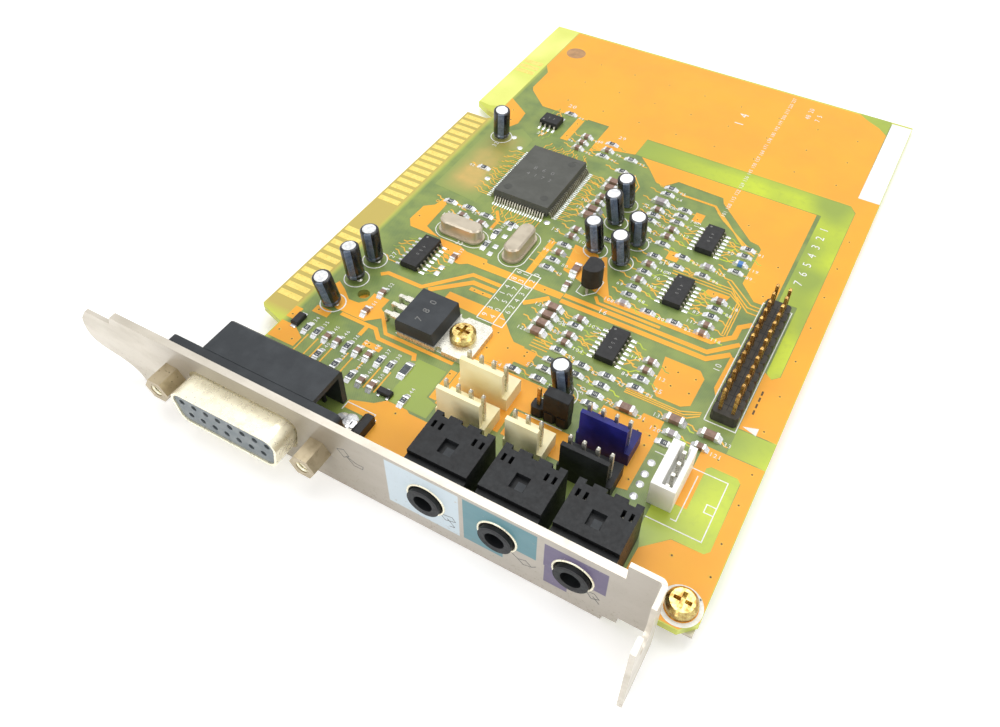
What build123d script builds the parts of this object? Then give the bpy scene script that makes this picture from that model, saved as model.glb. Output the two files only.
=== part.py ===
from build123d import *
import os
from math import tan, radians

os.makedirs("parts", exist_ok=True)

# ISA sound card, lying with its component side up.
# X runs along the bracket, from the edge connector's edge to the card's top edge.
# Y runs from the bracket into the computer, and y = 0 is the board's front edge.
# Z is up from the board's component side.

# board
BOARD_WIDTH = 102.3
BOARD_LENGTH = 154.2
BOARD_THICKNESS = 1.6
TONGUE_HEIGHT = 6.2
TONGUE_START = 22.0
TONGUE_RAKE = 1.7
NOTCH_WIDTH = 3.4
NOTCH_RAKE = 2.2
CORNER_CUT = 2.6
HOLE_PLAY = 0.2
TOOLING_HOLES = ((16.2, 34.8, 2.6), (16.0, 88.4, 2.4), (13.5, 151.3, 2.0))

# edge contacts
PITCH = 2.54
A1_Y = 24.5
FINGERS = 31
FINGER_WIDTH = 1.5
FINGER_LENGTH = 6.0
FINGER_THICKNESS = 0.05
UNUSED = (1, 12, 13, 14, 15)
FAR_FINGERS = (127.4, 129.9, 132.5)

# bracket
SHEET = 0.86
FACE_Y = -1.6
PLATE_LOW = -5.6
PLATE_HIGH = 10.4
LIP_DEPTH = 1.5
LIP_START = -13.4
LIP_END = 90.7
LOW_LIP_END = 88.0
TONGUE_TIP = -22.6
BRACKET_LENGTH = 119.4
TAB_HIGH = 14.1
TAB_LOW = -4.3
TAB_DEPTH = 11.4
BEND = 0.5
SLOT_WIDTH = 4.42
SLOT_OFFSET = 6.35
SLOT_DEPTH = 7.2
LUG_START = 90.6
LUG_END = 102.0
LUG_DEPTH = 7.6
SCREW_X = 98.7
SCREW_Y = 3.9
SCREW_SIZE = 3.0
SCREW_HEAD = 5.3
SCREW_HEAD_HEIGHT = 2.0

# gameport
PORT_X = 16.7
PORT_Z = 2.4
JACKSCREW_SPACING = 33.32
JACKSCREW_FLATS = 4.75
JACKSCREW_REACH = 4.6
STUD = 2.8
JACKSCREW_BORE = 2.6
FLANGE_WIDTH = 39.1
FLANGE_HEIGHT = 12.4
FLANGE_SHEET = 0.8
SHELL_WIDTH = 24.66
SHELL_HEIGHT = 7.9
SHELL_REACH = 5.2
SHELL_WALL = 0.5
SHELL_RADIUS = 2.4
SHELL_RAKE = 10
FIT = 0.05
CONTACT_PITCH = 2.77
ROW_PITCH = 2.84
CONTACT_HOLE = 1.2
WING_DEPTH = 2.6
HOOD_LEFT = 4.9
HOOD_RIGHT = 29.9
HOOD_BACK = 10.8
HOOD_TOP = 8.5
HOOD_WALL = 1.2
TAIL = 0.6
CLIP_WIDTH = 4.8
CLIP_SHEET = 0.5
CLIP_FOOT = 3.4
CLIP_SIDE = 1.9

# audio jacks
JACK_X = 55.5
JACK_PITCH = 13.5
JACK_WIDTH = 11.4
JACK_BACK = 11.5
JACK_TOP = 9.3
JACK_STEP = 2.8
JACK_STEP_DROP = 1.1
JACK_Z = 3.5
NOSE = 6.2
NOSE_PLAY = 0.25
JACK_BORE = 3.6
NOSE_REACH = 0.9
JACK_CAVITY = 7.6
JACK_NOTCH = 0.8
SPRING_SHEET = 0.3
SPRING_REACH = 3.5

# pin headers
PIN = 0.64
PIN_BELOW = 2.9
PIN_POINT = 0.4
HEADER_X = 90.8
HEADER_Y = 41.5
HEADER_ROWS = 13
HEADER_HEIGHT = 2.54
HEADER_TIP = 8.1
WAFER_BASE = 3.2
WAFER_DEPTH = 5.6
WAFER_FRONT = 2.1
RAMP_HEIGHT = 9.2
RAMP_THICKNESS = 1.0
WAFER_TIP = 10.0
BOX_X = 89.2
BOX_Y = 23.4
BOX_LEFT = 86.6
BOX_RIGHT = 91.0
BOX_LENGTH = 10.2
BOX_HEIGHT = 6.0
JUMPER_X = 61.9
JUMPER_Y = 25.95
JUMPER_TIP = 7.0
CAP_HEIGHT = 4.6

# parts that stand on the board
CAN_DIAMETER = 4.0
CAN_HEIGHT = 7.9
CAN_LIFT = 0.9
CAN_LEAD_PITCH = 1.5
LEAD = 0.45
BODY_LIFT = 0.15
CHIP_X = 30.6
CHIP_Y = 85.3
CHIP_WIDTH = 14.0
CHIP_LENGTH = 20.0
CHIP_HEIGHT = 2.7
CHIP_PITCH = 0.65
CHIP_LEADS_SHORT = 20
CHIP_LEAD_Z = 1.2
CHIP_LEAD_WIDTH = 0.3
CHIP_LEAD_REACH = 1.95
CHIP_LEADS_LONG = 30
SMALL_WIDTH = 3.9
SMALL_HEIGHT = 1.6
SMALL_PITCH = 1.27
SMALL_LEAD_Z = 0.85
SMALL_LEAD_WIDTH = 0.42
SMALL_LEAD_REACH = 1.1
REG_X = 28.4
REG_Y = 33.75
REG_BODY = 8.9
REG_WIDTH = 10.0
REG_HEIGHT = 4.5
REG_TAB = 1.3
REG_TAB_LENGTH = 7.8
REG_SCREW_X = 40.9
REG_LEAD_X = 24.6
REG_LEAD_Z = 2.6
REG_LEAD_WIDTH = 0.8
REG_LEAD_SHEET = 0.5
NUT_FLATS = 5.5
NUT_HEIGHT = 2.3
CRYSTAL_LENGTH = 11.05
CRYSTAL_WIDTH = 4.65
CRYSTAL_HEIGHT = 3.5
CRYSTAL_RIM = 0.45
CRYSTAL_LEAD_PITCH = 4.9
TRANSISTOR_X = 56.0
TRANSISTOR_Y = 59.9
TRANSISTOR_SIZE = 4.7
TRANSISTOR_HEIGHT = 4.9
TRANSISTOR_LIFT = 1.9
TRANSISTOR_PITCH = 1.9
CHOKE = (36.5, 6.7, 2.2, 4.5, 2.2)
CHOKE_BEVEL = 0.8
SMALL_DIODE = (9.5, 22.2, 1.6, 3.0, 1.1)
SMALL_TRANSISTOR = (35.2, 15.4, 2.9, 1.35, 1.0)
CHIP_PART = (2.0, 1.25)
RESISTOR_HEIGHT = 0.5
CERAMIC_HEIGHT = 0.9
LARGE_PART = (3.2, 1.6)
LARGE_HEIGHT = 1.1
LABEL_X = 99.7
LABEL_Y = 135.9
LABEL_WIDTH = 5.0
LABEL_LENGTH = 35.0
LABEL_THICKNESS = 0.1
SMALL_CHIPS = (("codec_chip", 20.0, 50.5, 8, 0), ("mixer_chip", 67.0, 46.9, 7, 0),
               ("line_chip", 72.6, 67.3, 7, 0), ("output_chip", 72.5, 85.9, 7, 0),
               ("memory_chip", 21.2, 108.8, 4, 90))
WAFERS = (("rear_wafer", 4, 55.4, 25.2), ("front_wafer", 4, 55.3, 17.5), ("short_wafer", 3, 66.6, 17.6),
          ("black_wafer", 4, 79.7, 17.6), ("blue_wafer", 4, 79.6, 25.3))
CANS = ((12.3, 29.6, 0, -8), (12.2, 37.8, -3, 3), (12.2, 44.4, 0, -1), (13.0, 97.4, 4, -3), (51.3, 88.6, -2, -5),
        (51.9, 81.6, -5, -4), (51.8, 71.0, -3, -2), (58.7, 77.7, 0, -5), (58.3, 70.2, -2, -4), (64.1, 31.8, -6, 2))
CRYSTALS = ((23.8, 61.0, 0), (37.2, 63.2, 90))

# small parts by column: x, then the y of each
RESISTOR_COLUMNS = ((15.8, (69.1, 84.0)), (20.6, (69.3,)), (23.7, (114.9,)), (25.5, (68.8,)), (31.8, (69.0,)),
                    (38.5, (102.7, 108.2)), (45.2, (60.7, 63.5, 68.9, 99.4, 104.7)), (52.7, (32.5, 75.2)),
                    (58.1, (32.7, 35.4, 37.9, 41.0, 48.5, 83.0, 86.2, 88.3, 96.8, 99.2)),
                    (63.8, (37.2, 39.8, 61.9, 64.5, 69.9, 75.6, 80.1, 88.5, 91.0, 93.3)),
                    (69.2, (32.1, 34.6, 37.2, 39.8, 59.3, 74.8, 78.3)), (75.0, (39.9, 42.4, 59.2, 75.0)),
                    (80.8, (64.6, 67.0, 79.6, 85.3, 87.8)), (84.6, (30.8,)))
CERAMIC_COLUMNS = ((20.8, (66.1,)), (25.9, (65.8,)), (31.8, (102.4, 105.0, 107.7)), (38.7, (105.2,)),
                   (45.4, (66.0, 72.2, 74.7, 85.7, 88.1)), (58.3, (43.3, 45.5, 50.5, 90.3)),
                   (63.8, (59.0, 67.0, 72.5, 82.8, 85.5)), (75.1, (44.7, 47.2, 77.9)),
                   (80.9, (59.2, 61.7, 69.4, 82.3)), (85.0, (33.3,)), (90.5, (33.2,)))
LARGE_COLUMNS = ((45.5, (80.4, 82.8, 91.8, 94.3)), (52.1, (43.1, 45.6, 48.1, 50.6)), (57.8, (93.2,)),
                 (75.5, (34.4,)), (84.4, (36.4,)), (91.2, (36.4,)))
TURNED_RESISTORS = ((12.3, 21.3), (14.7, 21.3), (22.1, 21.3), (29.7, 21.3), (32.2, 21.3), (22.8, 16.4),
                    (18.4, 16.8), (27.1, 15.6), (30.3, 60.3), (30.4, 64.8), (39.1, 15.6))
TURNED_CERAMICS = ((17.3, 21.3), (19.8, 21.3), (24.6, 21.3), (27.1, 21.3), (29.6, 15.6), (32.1, 15.6),
                   (19.7, 30.8), (19.6, 36.8), (26.6, 53.3), (51.5, 57.8))
TURNED_LARGE = ((51.1, 62.9),)
LARGE_RESISTOR = (35.3, 21.9)

plate_back = FACE_Y + SHEET
flange_back = plate_back + FLANGE_SHEET
wing_back = flange_back + WING_DEPTH
board_front = wing_back + 0.1
tab_face = TONGUE_TIP + BRACKET_LENGTH
port_end = PORT_X + FLANGE_WIDTH / 2 + 0.6
underside = -BOARD_THICKNESS
tail_end = underside - 1.3
tongue_end = A1_Y + (FINGERS - 1) * PITCH + PITCH - FINGER_WIDTH / 2
row_high = PORT_Z + ROW_PITCH / 2
row_low = PORT_Z - ROW_PITCH / 2
tail_high = wing_back + 5.9
tail_low = wing_back + 3.2
board_top = 0.0
spring_back = JACK_BACK - 1.3
header_mid = HEADER_Y + PITCH * (HEADER_ROWS - 1) / 2

# circuit board, with a hole for each lead
with BuildPart() as circuit_board:
    with BuildSketch(Plane.XY.offset(underside)):
        with BuildLine():
            Polyline(
                (TONGUE_HEIGHT, board_front),
                (port_end, board_front),
                (port_end, 0),
                (BOARD_WIDTH - CORNER_CUT, 0),
                (BOARD_WIDTH, CORNER_CUT),
                (BOARD_WIDTH, BOARD_LENGTH),
                (0, BOARD_LENGTH),
                (0, tongue_end + NOTCH_WIDTH + NOTCH_RAKE),
                (TONGUE_HEIGHT - NOTCH_RAKE, tongue_end + NOTCH_WIDTH),
                (TONGUE_HEIGHT + 0.3, tongue_end + NOTCH_WIDTH - 0.8),
                (TONGUE_HEIGHT + 0.3, tongue_end + 0.9),
                (TONGUE_HEIGHT - 0.6, tongue_end),
                (0, tongue_end),
                (0, TONGUE_START + 0.6),
                (0.6, TONGUE_START),
                (TONGUE_HEIGHT, TONGUE_START - TONGUE_RAKE),
                close=True,
            )
        make_face()
        for x, y, diameter in TOOLING_HOLES:
            with Locations((x, y)):
                Circle(diameter / 2, mode=Mode.SUBTRACT)
        with Locations((SCREW_X, SCREW_Y), (REG_SCREW_X, REG_Y)):
            Circle(SCREW_SIZE / 2 + HOLE_PLAY, mode=Mode.SUBTRACT)
        for count, y in ((8, tail_high), (7, tail_low)):
            with Locations((PORT_X, y)):
                with GridLocations(CONTACT_PITCH, 1, count, 1):
                    Rectangle(TAIL + HOLE_PLAY, TAIL + HOLE_PLAY, mode=Mode.SUBTRACT)
        with Locations((HEADER_X + PITCH / 2, header_mid)):
            with GridLocations(PITCH, PITCH, 2, HEADER_ROWS):
                Rectangle(PIN + HOLE_PLAY, PIN + HOLE_PLAY, mode=Mode.SUBTRACT)
        for name, count, x, y in WAFERS:
            with Locations((x - PITCH * (count - 1) / 2, y)):
                with GridLocations(PITCH, 1, count, 1):
                    Rectangle(PIN + HOLE_PLAY, PIN + HOLE_PLAY, mode=Mode.SUBTRACT)
        with Locations((JUMPER_X + PITCH, JUMPER_Y)):
            with GridLocations(PITCH, 1, 3, 1):
                Rectangle(PIN + HOLE_PLAY, PIN + HOLE_PLAY, mode=Mode.SUBTRACT)
        with Locations((BOX_X, BOX_Y)):
            with GridLocations(1, PITCH, 1, 4):
                Rectangle(PIN + HOLE_PLAY, PIN + HOLE_PLAY, mode=Mode.SUBTRACT)
        for x, y, lean_x, lean_y in CANS:
            with Locations((x, y)):
                with GridLocations(CAN_LEAD_PITCH, 1, 2, 1):
                    Rectangle(LEAD + HOLE_PLAY, LEAD + HOLE_PLAY, mode=Mode.SUBTRACT)
        for x, y, angle in CRYSTALS:
            with Locations(Location((x, y, 0), (0, 0, angle))):
                with GridLocations(CRYSTAL_LEAD_PITCH, 1, 2, 1):
                    Rectangle(LEAD + HOLE_PLAY, LEAD + HOLE_PLAY, mode=Mode.SUBTRACT)
        with Locations((JACK_X + JACK_PITCH, spring_back - SPRING_SHEET / 2)):
            with GridLocations(JACK_PITCH, 1, 3, 1):
                with GridLocations(2 * SPRING_REACH, 1, 2, 1):
                    Rectangle(0.8 + HOLE_PLAY, SPRING_SHEET + HOLE_PLAY, mode=Mode.SUBTRACT)
        with Locations((REG_LEAD_X, REG_Y)):
            with GridLocations(1, PITCH, 1, 3):
                Rectangle(REG_LEAD_SHEET + HOLE_PLAY, REG_LEAD_WIDTH + HOLE_PLAY, mode=Mode.SUBTRACT)
        with Locations((TRANSISTOR_X, TRANSISTOR_Y)):
            with GridLocations(1, TRANSISTOR_PITCH, 1, 3):
                Rectangle(LEAD + HOLE_PLAY, LEAD + HOLE_PLAY, mode=Mode.SUBTRACT)
    extrude(amount=BOARD_THICKNESS)
circuit_board.part.label = "circuit_board"
export_step(circuit_board.part, "parts/circuit_board.step")

# gold fingers on both faces of the tongue
with BuildPart() as edge_contacts:
    for index in range(FINGERS):
        if index + 1 not in UNUSED:
            with BuildSketch(Plane.XY):
                with Locations((FINGER_LENGTH / 2 + 0.25, A1_Y + index * PITCH)):
                    Rectangle(FINGER_LENGTH - 0.5, FINGER_WIDTH)
            extrude(amount=FINGER_THICKNESS)
    with BuildSketch(Plane.XY):
        for y in FAR_FINGERS:
            with Locations((FINGER_LENGTH / 2 + 0.25, y)):
                Rectangle(FINGER_LENGTH - 0.5, FINGER_WIDTH)
    extrude(amount=FINGER_THICKNESS)
    with BuildSketch(Plane.XY.offset(underside)):
        with Locations((FINGER_LENGTH / 2 + 0.25, A1_Y + PITCH * (FINGERS - 1) / 2)):
            with GridLocations(1, PITCH, 1, FINGERS):
                Rectangle(FINGER_LENGTH - 0.5, FINGER_WIDTH)
    extrude(amount=-FINGER_THICKNESS)
edge_contacts.part.label = "edge_contacts"
export_step(edge_contacts.part, "parts/edge_contacts.step")

# mounting bracket, folded from one sheet
with BuildPart() as mounting_bracket:
    with BuildSketch(Plane.XZ.offset(-plate_back)):
        with BuildLine():
            Polyline(
                (TONGUE_TIP, 5.6),
                (TONGUE_TIP + 1.9, 8.3),
                (LIP_START - 0.9, 8.3),
                (LIP_START, PLATE_HIGH),
                (LIP_END, PLATE_HIGH),
                (LIP_END, PLATE_LOW + 6),
                (LOW_LIP_END, PLATE_LOW + 6),
                (LOW_LIP_END, PLATE_LOW),
                (LIP_START + 3.2, PLATE_LOW),
            )
            Spline(
                (LIP_START + 3.2, PLATE_LOW),
                (LIP_START + 0.4, -2.6),
                (LIP_START - 4.0, -1.4),
                (TONGUE_TIP + 2.0, -0.6),
                (TONGUE_TIP, 5.6),
            )
        make_face()
    extrude(amount=SHEET)
    # top and bottom lips curl back
    with BuildSketch(Plane.YZ.offset(LIP_START)):
        with Locations((plate_back, PLATE_HIGH)):
            Rectangle(LIP_DEPTH - SHEET, SHEET, align=(Align.MIN, Align.MAX))
    extrude(amount=LIP_END - LIP_START)
    with BuildSketch(Plane.YZ.offset(LIP_START + 3.2)):
        with Locations((plate_back, PLATE_LOW)):
            Rectangle(LIP_DEPTH - SHEET, SHEET, align=(Align.MIN, Align.MIN))
    extrude(amount=LOW_LIP_END - LIP_START - 3.2)
    # tab for the case screw, with its rounded bend
    with BuildSketch(Plane.XY.offset(TAB_LOW)) as tab:
        with BuildLine():
            Polyline(
                (LOW_LIP_END, plate_back),
                (tab_face, plate_back),
                (tab_face, FACE_Y - TAB_DEPTH),
                (tab_face - SHEET, FACE_Y - TAB_DEPTH),
                (tab_face - SHEET, FACE_Y),
                (LOW_LIP_END, FACE_Y),
                close=True,
            )
        make_face()
        fillet(tab.vertices().sort_by(Axis.X)[-2:].sort_by(Axis.Y)[-1], BEND + SHEET)
        fillet(tab.vertices().sort_by_distance((tab_face - SHEET, FACE_Y))[0], BEND)
    extrude(amount=TAB_HIGH - TAB_LOW)
    with BuildSketch(Plane.XZ.offset(-plate_back - 1)):
        with Locations((LOW_LIP_END, TAB_HIGH)):
            Rectangle(LIP_END - LOW_LIP_END, TAB_HIGH - PLATE_HIGH, align=(Align.MIN, Align.MAX))
    extrude(amount=SHEET + 2, mode=Mode.SUBTRACT)
    with BuildSketch(Plane.YZ.offset(tab_face)):
        with Locations((FACE_Y - SLOT_OFFSET, TAB_HIGH)):
            Rectangle(SLOT_WIDTH, 2 * (SLOT_DEPTH - SLOT_WIDTH / 2))
        with Locations((FACE_Y - SLOT_OFFSET, TAB_HIGH - SLOT_DEPTH + SLOT_WIDTH / 2)):
            Circle(SLOT_WIDTH / 2)
    extrude(amount=-2, mode=Mode.SUBTRACT)
    # lug under the board
    with BuildSketch(Plane.YZ.offset(LUG_START)):
        with Locations((FACE_Y, TAB_LOW)):
            Rectangle(SHEET, underside - SHEET - TAB_LOW, align=(Align.MIN, Align.MIN))
    extrude(amount=tab_face - SHEET - BEND - LUG_START, mode=Mode.SUBTRACT)
    with BuildSketch(Plane.YZ.offset(LUG_START)) as lug_bend:
        with BuildLine():
            Polyline(
                (FACE_Y, 0),
                (FACE_Y, underside - SHEET),
                (1, underside - SHEET),
                (1, underside),
                (plate_back, underside),
                (plate_back, 0),
                close=True,
            )
        make_face()
        fillet(lug_bend.vertices().sort_by_distance((0, FACE_Y, underside - SHEET))[0], SHEET)
    extrude(amount=tab_face - SHEET - BEND - LUG_START)
    with BuildSketch(Plane.XY.offset(underside)):
        with Locations((LUG_START, 1)):
            Rectangle(LUG_END - LUG_START, LUG_DEPTH - 1, align=(Align.MIN, Align.MIN))
        with Locations((SCREW_X, SCREW_Y)):
            Circle(SCREW_SIZE / 2 + FIT, mode=Mode.SUBTRACT)
    extrude(amount=-SHEET)
    # openings for the gameport and the jacks
    with BuildSketch(Plane.XZ.offset(-plate_back)) as openings:
        with Locations((PORT_X, PORT_Z)):
            Trapezoid(SHELL_WIDTH + 0.9, SHELL_HEIGHT + 0.9, 90 - SHELL_RAKE, rotation=180)
        fillet(openings.vertices(), SHELL_RADIUS)
        with Locations((PORT_X, PORT_Z)):
            with GridLocations(JACKSCREW_SPACING, 1, 2, 1):
                RegularPolygon(STUD / 2 + HOLE_PLAY, 8, major_radius=False)
        with Locations((JACK_X + JACK_PITCH, JACK_Z)):
            with GridLocations(JACK_PITCH, 1, 3, 1):
                Circle(NOSE / 2 + NOSE_PLAY)
    extrude(amount=SHEET, mode=Mode.SUBTRACT)
mounting_bracket.part.label = "mounting_bracket"
export_step(mounting_bracket.part, "parts/mounting_bracket.step")

# hexagonal jackscrews
for side, name in ((-1, "jackscrew_left"), (1, "jackscrew_right")):
    jackscrew_x = PORT_X + side * JACKSCREW_SPACING / 2
    with BuildPart() as jackscrew:
        with BuildSketch(Plane.XZ.offset(-FACE_Y)):
            with Locations((jackscrew_x, PORT_Z)):
                RegularPolygon(JACKSCREW_FLATS / 2, 6, major_radius=False)
        extrude(amount=JACKSCREW_REACH)
        with BuildSketch(Plane.XZ.offset(-FACE_Y)):
            with Locations((jackscrew_x, PORT_Z)):
                Circle(STUD / 2)
        extrude(amount=FACE_Y - wing_back - 1.6)
        with BuildSketch(Plane.XZ.offset(JACKSCREW_REACH - FACE_Y)):
            with Locations((jackscrew_x, PORT_Z)):
                Circle(JACKSCREW_BORE / 2)
        extrude(amount=-JACKSCREW_REACH + 0.8, mode=Mode.SUBTRACT)
    jackscrew.part.label = name
    export_step(jackscrew.part, f"parts/{name}.step")

# nickel shell with its flange, drawn from one sheet
with BuildPart() as gameport_shell:
    with BuildSketch(Plane.XZ.offset(-flange_back)) as flange:
        with Locations((PORT_X, PORT_Z)):
            RectangleRounded(FLANGE_WIDTH, FLANGE_HEIGHT, 1.5)
            with GridLocations(JACKSCREW_SPACING, 1, 2, 1):
                RegularPolygon(STUD / 2 + HOLE_PLAY, 8, major_radius=False, mode=Mode.SUBTRACT)
    extrude(amount=FLANGE_SHEET)
    with BuildSketch(Plane.XZ.offset(-flange_back)) as shell:
        with Locations((PORT_X, PORT_Z)):
            Trapezoid(SHELL_WIDTH, SHELL_HEIGHT, 90 - SHELL_RAKE, rotation=180)
        fillet(shell.vertices(), SHELL_RADIUS)
    extrude(amount=flange_back - FACE_Y + SHELL_REACH)
    with BuildSketch(Plane.XZ.offset(-flange_back)) as shell_inside:
        with Locations((PORT_X, PORT_Z)):
            Trapezoid(SHELL_WIDTH, SHELL_HEIGHT, 90 - SHELL_RAKE, rotation=180)
        fillet(shell_inside.vertices(), SHELL_RADIUS)
        offset(amount=-SHELL_WALL, mode=Mode.REPLACE)
    extrude(amount=flange_back - FACE_Y + SHELL_REACH, mode=Mode.SUBTRACT)
gameport_shell.part.label = "gameport_shell"
export_step(gameport_shell.part, "parts/gameport_shell.step")

# grey insulator with fifteen contact holes
with BuildPart() as gameport_insulator:
    with BuildSketch(Plane.XZ.offset(-wing_back)) as insulator:
        with Locations((PORT_X, PORT_Z)):
            Trapezoid(SHELL_WIDTH, SHELL_HEIGHT, 90 - SHELL_RAKE, rotation=180)
        fillet(insulator.vertices(), SHELL_RADIUS)
        offset(amount=-SHELL_WALL - FIT, mode=Mode.REPLACE)
        for count, z in ((8, row_high), (7, row_low)):
            with Locations((PORT_X, z)):
                with GridLocations(CONTACT_PITCH, 1, count, 1):
                    RegularPolygon(CONTACT_HOLE / 2, 8, major_radius=False, mode=Mode.SUBTRACT)
    extrude(amount=wing_back - FACE_Y + SHELL_REACH - 0.3)
gameport_insulator.part.label = "gameport_insulator"
export_step(gameport_insulator.part, "parts/gameport_insulator.step")

# black wing and hood behind the flange, the hood open at its right end
with BuildPart() as gameport_housing:
    with BuildSketch(Plane.XZ.offset(-wing_back)) as wing:
        with Locations((PORT_X, PORT_Z)):
            RectangleRounded(FLANGE_WIDTH - 0.6, FLANGE_HEIGHT - 0.4, 1.2)
            with GridLocations(JACKSCREW_SPACING, 1, 2, 1):
                RegularPolygon(STUD / 2 + HOLE_PLAY, 8, major_radius=False, mode=Mode.SUBTRACT)
    extrude(amount=WING_DEPTH)
    with BuildSketch(Plane.XY):
        with Locations((HOOD_LEFT, wing_back)):
            Rectangle(HOOD_RIGHT - HOOD_LEFT, HOOD_BACK - wing_back, align=(Align.MIN, Align.MIN))
    extrude(amount=HOOD_TOP)
    chamfer(gameport_housing.edges().filter_by(Axis.X).group_by(Axis.Z)[-1].sort_by(Axis.Y)[-1], 0.6)
    with BuildSketch(Plane.XY):
        with Locations((HOOD_LEFT + HOOD_WALL, wing_back)):
            Rectangle(
                HOOD_RIGHT - HOOD_LEFT - HOOD_WALL,
                HOOD_BACK - wing_back - HOOD_WALL,
                align=(Align.MIN, Align.MIN),
            )
    extrude(amount=HOOD_TOP - HOOD_WALL, mode=Mode.SUBTRACT)
    with BuildSketch(Plane.XZ.offset(-wing_back)) as pocket:
        with Locations((PORT_X, PORT_Z)):
            Trapezoid(SHELL_WIDTH, SHELL_HEIGHT, 90 - SHELL_RAKE, rotation=180)
        fillet(pocket.vertices(), SHELL_RADIUS)
        offset(amount=-SHELL_WALL, mode=Mode.REPLACE)
    extrude(amount=WING_DEPTH, mode=Mode.SUBTRACT)
gameport_housing.part.label = "gameport_housing"
export_step(gameport_housing.part, "parts/gameport_housing.step")

# fifteen contacts, each a socket pin with a tail bent down through the board
with BuildPart() as gameport_contacts:
    for count, z, tail_y in ((8, row_high, tail_high), (7, row_low, tail_low)):
        with BuildSketch(Plane.XZ.offset(-wing_back)):
            with Locations((PORT_X, z)):
                with GridLocations(CONTACT_PITCH, 1, count, 1):
                    RegularPolygon(CONTACT_HOLE / 2 - FIT, 8, major_radius=False)
                    Rectangle(CONTACT_HOLE / 2, CONTACT_HOLE / 2, mode=Mode.SUBTRACT)
        extrude(amount=wing_back - FACE_Y + SHELL_REACH - 1.2)
        with BuildSketch(Plane.XZ.offset(-wing_back)):
            with Locations((PORT_X, z)):
                with GridLocations(CONTACT_PITCH, 1, count, 1):
                    Rectangle(TAIL, TAIL)
        extrude(amount=wing_back - tail_y - TAIL / 2)
        with BuildSketch(Plane.XY.offset(tail_end)):
            with Locations((PORT_X, tail_y)):
                with GridLocations(CONTACT_PITCH, 1, count, 1):
                    Rectangle(TAIL, TAIL)
        extrude(amount=z + TAIL / 2 - tail_end)
gameport_contacts.part.label = "gameport_contacts"
export_step(gameport_contacts.part, "parts/gameport_contacts.step")

# nut clip behind the left ear
with BuildPart() as nut_clip_left:
    with BuildSketch(Plane.XZ.offset(-wing_back - CLIP_SHEET)):
        with Locations((PORT_X - JACKSCREW_SPACING / 2, PORT_Z)):
            RectangleRounded(CLIP_WIDTH, 9.0, 1.2)
            RegularPolygon(STUD / 2 + FIT, 8, major_radius=False, mode=Mode.SUBTRACT)
    extrude(amount=CLIP_SHEET)
nut_clip_left.part.label = "nut_clip_left"
export_step(nut_clip_left.part, "parts/nut_clip_left.step")

# strap behind the right ear, with a foot soldered to the board
with BuildPart() as ground_clip_right:
    with BuildSketch(Plane.YZ.offset(PORT_X + JACKSCREW_SPACING / 2 - CLIP_WIDTH / 2)) as strap:
        with BuildLine():
            Polyline(
                (wing_back, 7.2),
                (wing_back, FIT),
                (wing_back + CLIP_FOOT, FIT),
                (wing_back + CLIP_FOOT, FIT + CLIP_SHEET),
                (wing_back + CLIP_SHEET, FIT + CLIP_SHEET),
                (wing_back + CLIP_SHEET, 7.2),
                close=True,
            )
        make_face()
        fillet(strap.vertices().sort_by_distance((0, wing_back, 0))[0], CLIP_SHEET * 0.8)
    extrude(amount=CLIP_WIDTH / 2 + CLIP_SIDE)
    with BuildSketch(Plane.XZ.offset(-wing_back - CLIP_SHEET)):
        with Locations((PORT_X + JACKSCREW_SPACING / 2, PORT_Z)):
            RegularPolygon(STUD / 2 + FIT, 8, major_radius=False)
    extrude(amount=CLIP_SHEET, mode=Mode.SUBTRACT)
ground_clip_right.part.label = "ground_clip_right"
export_step(ground_clip_right.part, "parts/ground_clip_right.step")

# pan-head screw holding the board on the bracket's lug
with BuildPart() as bracket_screw:
    with BuildSketch(Plane.XY):
        with Locations((SCREW_X, SCREW_Y)):
            Circle(SCREW_HEAD / 2)
    extrude(amount=SCREW_HEAD_HEIGHT)
    chamfer(bracket_screw.edges().group_by(Axis.Z)[-1], 0.6)
    with BuildSketch(Plane.XY.offset(SCREW_HEAD_HEIGHT)):
        with Locations((SCREW_X, SCREW_Y)):
            Rectangle(3.0, 0.7)
            Rectangle(0.7, 3.0)
    extrude(amount=-1.1, mode=Mode.SUBTRACT)
    with BuildSketch(Plane.XY):
        with Locations((SCREW_X, SCREW_Y)):
            Circle(SCREW_SIZE / 2)
    extrude(amount=underside - SHEET - 1.2)
bracket_screw.part.label = "bracket_screw"
export_step(bracket_screw.part, "parts/bracket_screw.step")

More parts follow.
